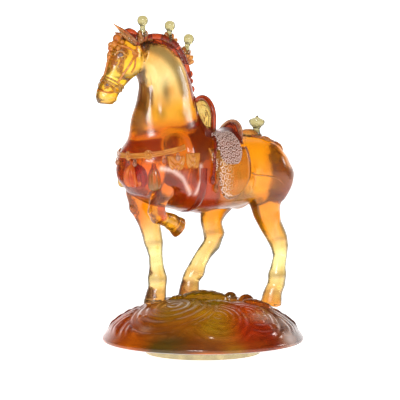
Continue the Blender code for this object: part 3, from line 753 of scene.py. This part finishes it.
tuftLeaves = [  # slide along the crest, tilt and length of each leaf round a plume
    (-5.4, -38, 5.6), (-2, -14, 7.2), (2.2, 16, 7), (5.6, 40, 6), (7.6, 62, 4.8),
]
plumeProfile = [  # radius and height, mm
    (4.2, -3), (4.0, 0), (3.4, 2), (2.8, 4), (2.5, 5.8), (2.9, 6.8), (2.9, 7.6), (4.0, 8.6), (5.0, 10.4),
    (5.4, 12.4), (5.0, 14.6), (3.8, 16.4), (1.8, 17.3), (0.2, 17.5),
]
for i, (x, z, lean) in enumerate(manePlan["plumes"], 1):
    upward = Vector((sin(radians(lean)), 0, cos(radians(lean))))
    place = Vector((x, 0, z)) * mm
    plume = stand(turned("manePlume%d" % i, plumeProfile), place, upward)
    shadeClear(plume, place / mm + upward * 12.4, 5.6)
    finishPiece(plume, "clearPainted", "mane_plume_%d" % i)
    leaves = []
    slope = radians(lean * 1.8)
    along = Vector((cos(slope), 0, -sin(slope)))
    for k, (slide, tilt, tall) in enumerate(tuftLeaves):
        turn = radians(lean + tilt)
        up = Vector((sin(turn), 0, cos(turn)))
        lift = manePlan["tuftLift"][i - 1] - 1.5 - 0.07 * slide ** 2
        leaves.append(ball(place + along * slide * mm + upward * lift * mm,
                           (3.3, 3.6 - 0.2 * k, tall * (1.2 - 0.04 * i)), 16, up))
    finishPiece(joinAll(leaves, "maneTuft%d" % i), "leafGlass")
maneLocks = [(-15.5, 279, 2.8), (-14.4, 272, 2.2), (-13, 264, 2.6), (-11.6, 255, 2.2)]  # x, z and size
for i, (x, z, size) in enumerate(maneLocks, 1):
    lock = ball(Vector((x, 0, z)) * mm, (size, size * 0.9, size * 1.3))
    nodes = ("mane_knob",) if i == 1 else ()
    finishPiece(lock, "redGlass", *nodes)
    lock.name = "maneLock%d" % i
earPlan = {
    "radius": 3.5, "hollow": 2.5, "root": (-86, 7.6, 310),
    "Left": ((-100, -9.8, 320.5), (-113, -10.5, 329)),  # middle and tip
    "Right": ((-93, 8.8, 317.5), (-99, 8.5, 320.5)),
}
for side, sign in bothSides:
    x, y, z = earPlan["root"]
    earPlaces = [Vector(p) * mm for p in ((x, y * sign, z), *earPlan[side])]
    ear = tube("ear" + side, earPlaces, earPlan["radius"], taper=lambda t: (1.0, 0.8, 0.08)[round(t * 2)])
    finishPiece(ear, "leafGlass", "ear_" + side.lower())
    hollow = [p + Vector((-1.6, 1.2 * sign, -1.7)) * mm for p in earPlaces]
    hollow[2] = hollow[1].lerp(earPlaces[2], 0.6)
    inside = tube("earHollow", hollow, earPlan["hollow"], taper=lambda t: (0.7, 0.8, 0.1)[round(t * 2)])
    finishPiece(inside, "goldGlass")
forelockPlan = {
    "radius": 3.2,
    "curl": ((-80, 0, 317), (-85, 0, 321), (-91, -1, 321.5), (-95, -2, 318.5), (-94, -3, 314.5),
             (-90, -3, 315.5)),
    "core": ((-86, -1, 314), (8, 4.5, 5.5)),  # place and size of the mass under the curl
    "bosses": (((-102.5, -1, 314.5), 4.4), ((-106.5, -3, 309.5), 3.6), ((-109.5, -1, 305), 3.2),
               ((-104, -6, 305), 2.6), ((-106, 4, 308), 3.4), ((-111, -2, 300), 2.4),
               ((-99, -5, 311), 2.6)),
}
curl = tube("forelockCurl", [Vector(p) * mm for p in forelockPlan["curl"]], forelockPlan["radius"],
            taper=lambda t: 1.1 - 0.6 * t)
corePlace, coreSize = forelockPlan["core"]
forelock = joinAll([curl, ball(Vector(corePlace) * mm, coreSize)], "forelockCurl")
finishPiece(forelock, "redGlass", "forelock")
bosses = [ball(Vector(p) * mm, (r, r * 0.8, r)) for p, r in forelockPlan["bosses"]]
finishPiece(joinAll(bosses, "foreheadOrnament"), "cordGlass")

print("bridle")
bridlePlan = {  # routes are steps down the face (mm) and angles round the head (degrees)
    "nosebands": ((27.5, 1.0), (31, 1.2)),  # step and radius
    "cheek": (((-13, 88), (-6, 92), (2, 90), (10, 88), (18, 84), (27, 80)), 1.15),
    "brow": (((-6, 92), (-7, 70), (-7, 50), (-6, 30), (-6, 10)), 1.2),
    "jaw": (((-6, 92), (0, 104), (6, 112), (12, 116)), 0.9),
    "flower": (-6, 92, 3.8), "bit": (33, 95, 3.4),
    "face": (8, 14, 20, 26, 31), "faceBeads": (2.6, 1.2, 1.2, 1.2, 1.8),
}
facePlan = {
    "eye": (2.5, 38), "eyeSize": (3.2, 2.2, 1.9),
    "lid": ((5.5, 22), (1.5, 26), (-1, 38), (1, 52), (5, 58)),
    "lip": ((42, 8), (41.5, 35), (40, 65), (37, 88)),
    "nostril": (34.5, 36), "nostrilSize": (1.9, 1.5, 0.9),
}


def headRing(name, along, radius):
    return tube(name, raised([onHead(along, 15 * k) for k in range(24)], 0.3), radius, closed=True)


def headRoute(route, sign, lift):
    return raised([onHead(along, sign * angle) for along, angle in route], lift)


nosebands = [headRing("noseband", step, radius) for step, radius in bridlePlan["nosebands"]]
finishPiece(joinAll(nosebands, "nosebandRope"), "goldGlass", "noseband")
for side, sign in (("Left", 1), ("Right", -1)):
    node = side.lower()
    route, radius = bridlePlan["cheek"]
    strap = tube("cheekStrap" + side, headRoute(route, sign, 0.4), radius)
    finishPiece(strap, "cordGlass", "cheek_strap_" + node)
    route, radius = bridlePlan["brow"]
    finishPiece(tube("browBand" + side, headRoute(route, sign, 0.4), radius), "cordGlass")
    route, radius = bridlePlan["jaw"]
    finishPiece(tube("jawStrap" + side, headRoute(route, sign, 0.3), radius), "cordGlass")
    along, angle, size = bridlePlan["flower"]
    flower = rosette("cheekFlower" + side, *onHead(along, sign * angle), size)
    finishPiece(flower, "cordGlass", "cheek_rosette_" + node)
    along, angle, size = bridlePlan["bit"]
    place, normal = onHead(along, sign * angle)
    bit = ring(place + normal * 0.8 * mm, normal, size, 1.0)
    finishPiece(bit, "goldGlass", "bit_ring_" + node)
    along, angle = facePlan["eye"]
    place, normal = onHead(along, sign * angle)
    eye = ball(place - normal * 0.6 * mm, facePlan["eyeSize"], 20, normal)
    finishPiece(eye, "eyeGlass").name = "eye" + side
    finishPiece(tube("eyelid" + side, headRoute(facePlan["lid"], sign, 0.5), 0.9), "goldGlass")
for side, sign in (("Left", 1), ("Right", -1)):
    finishPiece(tube("lip" + side, headRoute(facePlan["lip"], sign, -0.1), 0.8), "cordGlass")
    along, angle = facePlan["nostril"]
    place, normal = onHead(along, sign * angle)
    nostril = ring(place - normal * 0.2 * mm, normal, 2.3, 0.9)
    finishPiece(nostril, "goldGlass").name = "nostril" + side
    finishPiece(ball(place - normal * 0.5 * mm, facePlan["nostrilSize"], 14, normal), "eyeGlass")
faceRoute = [onHead(a, 0) for a in bridlePlan["face"]]
faceChain = [tube("faceStrap", raised(faceRoute, 0.2), 1.2)]
for (p, n), size in zip(faceRoute, bridlePlan["faceBeads"]):
    faceChain.append(ball(p + n * 0.4 * mm, (size, size, size * 0.8), 14, n))
finishPiece(joinAll(faceChain, "faceChain"), "cordGlass", "headstall")

print("breast harness")
collarPlan = {
    "height": 200.5, "rise": 8.5, "gap": 3.4, "band": (4.5, 1.0),
    "medallions": (("Front", 4), ("Left", 40), ("Right", -40)), "medallionSize": 4.4,
    "drops": (-62, 22, -22, 62, 82, -82), "dropBelow": 8, "dropSize": (2.3, 2.3, 2.8),
}


def collarPlace(angle, off=0.0):
    climb = (abs(angle) / 95) ** 2
    return aroundChest(angle, collarPlan["height"] + collarPlan["rise"] * climb + off)


def collarCord(off):
    return tube("collarCord", raised([collarPlace(a, off) for a in collarAngles], 0.5), 1.0)


collarAngles = [-96 + 8 * k for k in range(25)]
collarParts = [collarCord(collarPlan["gap"] / 2), collarCord(-collarPlan["gap"] / 2)]
collarParts.append(ribbon("collarBand", [collarPlace(a) for a in collarAngles], *collarPlan["band"]))
finishPiece(joinAll(collarParts, "breastCollar"), "cordGlass", "breast_collar")
for name, angle in collarPlan["medallions"]:
    place, normal = collarPlace(angle)
    place += normal * 0.6 * mm
    medallion = rosette("medallion" + name, place, normal, collarPlan["medallionSize"], 8)
    finishPiece(medallion, "cordGlass", "medallion_" + name.lower())
for i, angle in enumerate(collarPlan["drops"], 1):
    place, normal = collarPlace(angle, -collarPlan["dropBelow"])
    place += normal * 1.2 * mm
    eyelet = ring(place + Vector((0, 0, 3.2 * mm)), Vector((0, 1, 0)), 1.4, 0.5)
    drop = joinAll([ball(place, collarPlan["dropSize"]), eyelet], "beadDrop%d" % i)
    finishPiece(drop, "roseGlass")


tasselPlan = {
    "profile": (  # radius and height for a tassel 28.6 mm long
        (0.6, 0), (3.2, -0.6), (4.2, -2.2), (3.4, -4), (6.6, -6.4), (9.6, -10.5), (11, -15.5), (11.2, -21),
        (10.4, -26), (7, -28), (0.5, -28.6)),
    "widest": 11.2, "long": 28.6, "fluteDepth": 0.09,
    "chest": ((-88.5, -8, 197), 14, 11.5, 27, -10),  # top, flutes, radius, length and lean
    "bells": ((-77.5, 27, 194), 8, 6.2, 27, -3),
}


def flutedTassel(name, top, flutes, radius, length, lean):
    rows, steps = [], flutes * 6
    bm = bmesh.new()
    for r, h in tasselPlan["profile"]:
        row = []
        for k in range(steps):
            turn = 2 * pi * k / steps
            depth = 1 + (tasselPlan["fluteDepth"] * cos(flutes * turn) if h < -4.5 else 0)
            out = r * radius / tasselPlan["widest"] * depth * mm
            row.append(bm.verts.new((out * cos(turn), out * sin(turn),
                                     h * length / tasselPlan["long"] * mm)))
        rows.append(row)
    loft(bm, rows)
    bm.faces.new(rows[0])
    bm.faces.new(list(reversed(rows[-1])))
    obj = meshObject(name, bm)
    soft = obj.modifiers.new("Soft", "SUBSURF")
    soft.levels = soft.render_levels = 1
    applyModifiers(obj)
    obj.rotation_euler = (0, radians(lean), 0)
    obj.location = Vector(top) * mm
    bakePlace(obj)
    return obj


finishPiece(flutedTassel("chestTassel", *tasselPlan["chest"]), "tasselGlass", "chest_tassel")
for side, sign in bothSides:
    (x, y, z), *shape = tasselPlan["bells"]
    bell = flutedTassel("bellTassel" + side, (x, y * sign, z), *shape)
    finishPiece(bell, "goldGlass", "bell_tassel_" + side.lower())
pendantPlan = (("Fore", -58, 201, 17, 13), ("Rear", -38, 203, 19, 14))  # x, z, width and height


def cloudPendant(name, side, x, z, width, tall):
    def skin(u, v):
        lobes = 1 + 0.10 * cos(6 * pi * u)
        narrow = sqrt(max(0.02, 1 - (v * 0.92) ** 3))
        return onFlank(x + (u - 0.5) * width * narrow, z - v * tall * lobes, side)

    def height(u, v):
        away = hypot((u - 0.5) * 2, v * 1.3)
        return 1.5 + 0.55 * cos(away * 13)

    return laidPatch(name, 28, 22, skin, height)


for side, sign in bothSides:
    clouds = [cloudPendant("cloudPendant" + part + side, sign, *shape) for part, *shape in pendantPlan]
    finishPiece(joinAll(clouds, "cloudPendants" + side), "cordGlass", "cloud_pendant_" + side.lower())

print("saddle")
saddlePlan = {
    "guardThick": 1.8, "guardTones": ((0.93, 0.50, 0.02), (0.30, 0.10, 0.02)),
    "clothThick": 3.4, "clothTones": ((0.55, 0.17, 0.04), (0.35, 0.10, 0.04)),
    "leathers": (((-3, 224), (-15, 176), "redGlass"), ((0, 222), (-10, 168), "amberGlass")),
    "leatherRadius": 1.7, "leatherEnd": (2.6, 2.6, 4.6),
    "thighCord": ((34, 181), (42, 178.5), (52, 177.5), (63, 174.5), (73, 168)),
    "girth": (8, 1.2), "girthCentre": (-24, 0, 190),
    "seatCentre": 8, "seatSize": (46, 52),
}


def ridges(x, z, spacing, seed):  # a lattice of small raised rings, as on a pierced brocade
    x, z = x + 1.2 * sin(z * 0.26 + seed), z + 1.1 * sin(x * 0.3 + 2 * seed)
    row = round(z / (spacing * 0.87))
    shift = spacing / 2 if row % 2 else 0.0
    col = round((x - shift) / spacing)
    away = hypot(x - shift - col * spacing, z - row * spacing * 0.87)
    turn = atan2(z - row * spacing * 0.87, x - shift - col * spacing)
    petal = 1 + 0.22 * cos(5 * turn + seed + row)
    circle = exp(-((away / spacing - 0.34 * petal) / 0.11) ** 2)
    return circle + exp(-(away / spacing / 0.12) ** 2)


def flap(name, side, outline, height, tone, edgeTone, plain, across, down):
    def skin(u, v):
        x, z = outline(u, v)
        return onFlank(x, z, side)

    def toneAt(u, v):  # the raised work is frosted, the groove inside the border is dark
        raised = min(1.0, max(0.0, height(*outline(u, v), u, v) - plain - 0.4) / 0.5)
        inward = min(u, 1 - u, v, 1 - v)
        groove = exp(-((inward - 0.045) / 0.02) ** 2)
        return (*(a * (1 - groove) + b * groove for a, b in zip(tone, edgeTone)), 0.85 * raised)

    def lift(u, v):
        return height(*outline(u, v), u, v)

    return laidPatch(name, across, down, skin, lift, toneAt=toneAt)


def mudguardShape(u, v):
    fore = -17 + 16 * v ** 1.3
    rear = 33 - 9 * max(0, v - 0.45) ** 2 * 4
    z = 207 - v * (52 - 7 * (2 * u - 1) ** 2 * v)
    return fore + (rear - fore) * u, z


def mudguardHeight(x, z, u, v):
    border = 0.55 * exp(-((min(1 - u, 1 - v) - 0.10) / 0.018) ** 2)
    share = max(0, 1 - u / 0.5) ** 0.4 * min(1, v / 0.3)  # only the front half is carved
    carved = 1.2 * ridges(x, z, 7.4, 1.0) * share
    return saddlePlan["guardThick"] + border + carved


def clothShape(u, v):
    wide = sqrt(max(0.03, 1 - (max(0, v - 0.35) / 0.7) ** 2.2))
    return 8 + (u - 0.5) * 31 * wide, 220 - v * 30


def clothHeight(x, z, u, v):
    return saddlePlan["clothThick"] + 1.1 * ridges(x, z, 5.2, 0.0)


for side, sign in bothSides:
    node = side.lower()
    guard = flap("mudguard" + side, sign, mudguardShape, mudguardHeight, *saddlePlan["guardTones"],
                 saddlePlan["guardThick"], 150, 130)
    finishPiece(guard, "paintedGlass", "mudguard_" + node)
    cloth = flap("saddleCloth" + side, sign, clothShape, clothHeight, *saddlePlan["clothTones"],
                 saddlePlan["clothThick"], 110, 110)
    finishPiece(cloth, "paintedGlass")
    for k, ((x0, z0), (x1, z1), glassName) in enumerate(saddlePlan["leathers"]):
        route = spread([(x0, 0, z0), ((x0 + x1) / 2 - 3, 0, (z0 + z1) / 2), (x1, 0, z1)], 9)
        places = raised([onFlank(q.x, q.z, sign) for q in route], 1.6)
        leather = tube("stirrupCord", places, saddlePlan["leatherRadius"])
        leather = joinAll([leather, ball(places[-1], saddlePlan["leatherEnd"])],
                          "stirrupLeather%s%d" % (side, k + 1))
        finishPiece(leather, glassName, *(["stirrup_leather_" + node] if k == 0 else []))
for side, sign in bothSides:
    thigh = [onFlank(x, z, sign) for x, z in saddlePlan["thighCord"]]
    finishPiece(tube("thighCord" + side, raised(thigh, -0.1), 0.8), "goldGlass")
girthRoute = []
for k in range(21):
    angle = pi * (0.02 + 0.96 * k / 20)
    outward = Vector((0, -cos(angle), -sin(angle)))
    girthRoute.append(castFrom(Vector(saddlePlan["girthCentre"]) + outward * 120, -outward))
finishPiece(ribbon("girthBand", girthRoute, *saddlePlan["girth"]), "redGlass", "girth")


def seatSkin(u, v):
    long, wide = saddlePlan["seatSize"]
    return onBack(saddlePlan["seatCentre"] + (u - 0.5) * long, (v - 0.5) * wide)[0], Vector((0, 0, 1))


def seatHeight(u, v):
    return 1.5 + 7 * (2 * u - 1) ** 4 + 1.2 * (1 - (2 * v - 1) ** 2)


seat = laidPatch("saddleSeat", 48, 48, seatSkin, seatHeight)
finishPiece(seat, "redGlass", "saddle_seat", "saddle_cloth")
archPlan = {  # x, foot, half width, top, lean, thickness and rim radius, then the two glasses and the node
    "pommelArch": (2, 218, 17.6, 255.8, -4, 5, 2.6, "goldGlass", "redGlass", "pommel"),
    "cantleArch": (31.5, 213, 19.5, 231.5, 16, 4, 2.4, "redGlass", "roseGlass", "cantle"),
}


def archPlate(name, x, baseZ, halfWidth, top, lean, thick, rimRadius, faceGlass, rimGlass, node):
    tall = top - baseZ
    feet = [Vector((0, halfWidth * 0.82 * s, -4)) for s in (1, -1)]
    outline = [feet[0]]
    for k in range(33):
        turn = pi * k / 32
        outline.append(Vector((0, halfWidth * cos(turn), tall + halfWidth * (sin(turn) - 1))))
    outline.append(feet[1])
    rim = tube(name + "Rim", [p * mm for p in outline], rimRadius)
    bm = bmesh.new()
    rows, steps = [], 14
    middle = Vector((0, 0, tall * 0.42))
    for k in range(steps + 1):
        share = k / steps
        lift = thick / 2 * (1 - share ** 4) + 0.45 * cos(share * 5 * 2 * pi)
        spots = [middle.lerp(p, share) for p in outline]
        rows.append([[bm.verts.new((p + Vector((lift * s, 0, 0))) * mm) for p in spots] for s in (1, -1)])
    for face in (0, 1):
        loft(bm, [row[face] for row in rows])
    loft(bm, rows[-1])
    bmesh.ops.remove_doubles(bm, verts=bm.verts, dist=0.00001)
    plate = meshObject(name, bm)
    for piece in (rim, plate):
        piece.location = Vector((x, 0, baseZ)) * mm
        piece.rotation_euler = (0, radians(lean), 0)
    finishPiece(plate, faceGlass, node)
    finishPiece(rim, rimGlass)


for name, shape in archPlan.items():
    archPlate(name, *shape)

print("crupper and tail")
crupperPlan = {
    "mound": ((56, 0, 215.5), (13, 10, 7.5)), "petal": (3.4, 3.0, 3.4),  # place and size
    "finial": ((66, 0, 217.5), (0.06, 0, 1)),  # foot and axis
    "finialProfile": (
        (4.6, -1), (3.8, 2), (3.4, 4), (4.8, 6.2), (7.4, 8.6), (8.3, 11.2), (7.9, 13.2), (5.2, 14.6),
        (2.2, 15.4), (0.9, 17.2), (0.2, 18)),
    "beads": (70, 76, 82, 88), "beadSize": (3, 3, 2.4),
    "swag": ((52, 12, 212), (64, 15, 205), (77, 15, 200), (89, 13, 190), (96, 8, 178)),
    "flowers": ((5, "croup_rosette_"), (5.6, "rump_rosette_"), (5, None)),
}
place, size = crupperPlan["mound"]
mound = [ball(Vector(place) * mm, size, 28)]
for k in range(9):
    turn = pi * k / 8
    for across in (-9.5, 9.5):
        spot = Vector((55 - 13 * cos(turn), across * sin(turn), 215.5 - 1.5 * sin(turn)))
        mound.append(ball(spot * mm, crupperPlan["petal"], 12))
finishPiece(joinAll(mound, "croupMound"), "goldGlass", "croup_mound")
foot, axis = (Vector(v) for v in crupperPlan["finial"])
finial = stand(turned("croupFinial", crupperPlan["finialProfile"]), foot * mm, axis.normalized())
shadeClear(finial, foot + Vector((0.7, 0, 11)), 7.8)
finishPiece(finial, "clearPainted", "croup_finial")
strapBeads = []
for place, normal in (onBack(x, 0) for x in crupperPlan["beads"]):
    strapBeads.append(ball(place + normal * 0.8 * mm, crupperPlan["beadSize"], 14, normal))
finishPiece(joinAll(strapBeads, "crupperBeads"), "amberGlass", "crupper_strap")


def onRump(x, y, z):  # the skin under a place round the quarters
    outward = Vector((x - 58, y, z - 172)).normalized()
    return castFrom(Vector((58, 0, 172)) + outward * 120, -outward)


for side, sign in bothSides:
    swag = [onRump(x, y * sign, z) for x, y, z in crupperPlan["swag"]]
    line = [tube("swag", raised(swag, 0.4), 1.3)]
    line += [ball(p, (1.8, 1.8, 1.8), 10) for p in spread(raised(swag, 0.9), 19)]
    finishPiece(joinAll(line, "crupperSwag" + side), "leafGlass")
    for (p, n), (radius, node) in zip(swag[1:4], crupperPlan["flowers"]):
        flower = rosette("flower", p + n * 0.9 * mm, n, radius, 7)
        finishPiece(flower, "cordGlass", *([node + side.lower()] if node else []))
tailPlan = {
    "route": ((84, 0, 208.5), (90.5, 0, 204.5), (96.5, 0, 197), (101, 0, 187), (102, 0, 174)),
    "radius": 3.0, "knots": 9, "knotSize": (3.3, 3.9, 2.7),
    "bead": ((103.3, 0, 168.5), (3.4, 3.4, 5)),
}
tailPlaces = [Vector(p) * mm for p in tailPlan["route"]]
tailParts = [tube("tailCore", tailPlaces, tailPlan["radius"], taper=lambda t: 1.1 - 0.3 * t)]
for p in spread(tailPlaces, tailPlan["knots"]):
    tailParts.append(ball(p + Vector((1.2 * mm, 0, 0)), tailPlan["knotSize"], 14))
finishPiece(joinAll(tailParts, "boundTail"), "roseGlass", "tail")
place, size = tailPlan["bead"]
finishPiece(ball(Vector(place) * mm, size), "clearGlass", "tail_bead").name = "tailBead"

footDisc = bpy.data.objects["foot_disc"]  # a plain turned disc, kept as it comes
footDisc.data.materials.clear()
footDisc.data.materials.append(bpy.data.materials["discGlass"])

print("floor, lights and camera")
studioPlan = {
    "floorSize": (1.5, 7, 1), "floorPlace": (1.0, 1.43, 0), "floorGlow": 1.1,
    "lights": (  # place, aim, size in m and power in W
        ("keyLight", (-1.2, -1.3, 1.1), (0, 0, 0.18), 0.6, 20),
        ("rimLight", (1.15, -0.44, 0.55), (0, 0, 0.2), 0.25, 2)),
    "skyStrength": 1.7,
    "wall": ((0.0, 0.55), (0.25, 0.3), (0.5, 0.07), (0.74, 0.1), (0.9, 1.0)),  # from near to far side
    "ceiling": ((0.0, 1.0), (0.6, 1.0), (0.74, 0.35), (1.0, 0.5)),  # from below to above
}
bpy.ops.mesh.primitive_plane_add(size=1)
floor = bpy.context.object  # a roll of white paper running away from the camera
floor.name = "studioFloor"
floor.scale = studioPlan["floorSize"]
floor.rotation_euler = (0, 0, radians(-35))
floor.location = studioPlan["floorPlace"]
floorMaterial = bpy.data.materials.new("floorPaper")
floorMaterial.use_nodes = True
setInputs(floorMaterial.node_tree.nodes["Principled BSDF"], {
    "Base Color": (0.95, 0.95, 0.95, 1), "Roughness": 0.9, "Emission Color": (1, 1, 1, 1),
    "Emission Strength": studioPlan["floorGlow"],
})
floor.data.materials.append(floorMaterial)
for name, place, target, size, power in studioPlan["lights"]:
    bpy.ops.object.light_add(type="AREA", location=place)
    light = bpy.context.object
    light.name = name
    light.data.size = size
    light.data.energy = power
    light.rotation_euler = (Vector(target) - Vector(place)).to_track_quat("-Z", "Y").to_euler()

world = bpy.data.worlds.new("studio")
world.use_nodes = True
sky = world.node_tree
direction = addNode(sky, "TexCoord").outputs["Generated"]


def skyShade(toward, stops):  # grey levels from facing away to facing toward this direction
    aimed = addNode(sky, "VectorMath", {1: toward}, operation="DOT_PRODUCT")
    sky.links.new(direction, aimed.inputs[0])
    part = addNode(sky, "MapRange", {"From Min": -1})
    sky.links.new(aimed.outputs["Value"], part.inputs["Value"])
    ramp = addNode(sky, "ValToRGB")
    elements = ramp.color_ramp.elements
    while len(elements) < len(stops):
        elements.new(0.5)
    for element, (position, level) in zip(elements, stops):
        element.position = position
        element.color = (level, level, level, 1)
    sky.links.new(part.outputs["Result"], ramp.inputs["Fac"])
    return ramp.outputs["Color"]


both = addNode(sky, "Mix", {0: 1.0}, data_type="RGBA", blend_type="MULTIPLY")
sky.links.new(skyShade((0.57, 0.82, 0), studioPlan["wall"]), both.inputs[6])
sky.links.new(skyShade((0, 0, 1), studioPlan["ceiling"]), both.inputs[7])
sky.links.new(both.outputs[2], sky.nodes["Background"].inputs["Color"])
sky.nodes["Background"].inputs["Strength"].default_value = studioPlan["skyStrength"]
bpy.context.scene.world = world
bpy.context.scene.view_settings.view_transform = "Standard"

cameraPlan = {"azimuth": -35, "elevation": 4.5, "distance": 2.2, "lens": 198, "aim": 0.160,
              "shiftRight": 0.003, "shiftUp": 0.0069}
a = radians(cameraPlan["azimuth"])
e = radians(cameraPlan["elevation"])
back = Vector((sin(a) * cos(e), -cos(a) * cos(e), sin(e)))
right = Vector((cos(a), sin(a), 0))
up = back.cross(right)
aim = Vector((0, 0, cameraPlan["aim"])) - right * cameraPlan["shiftRight"] - up * cameraPlan["shiftUp"]
bpy.ops.object.camera_add(location=aim + back * cameraPlan["distance"])
camera = bpy.context.object
camera.rotation_euler = back.to_track_quat("Z", "Y").to_euler()
camera.data.lens = cameraPlan["lens"]
camera.data.sensor_width = 36
camera.data.clip_start = 0.05
bpy.context.scene.camera = camera
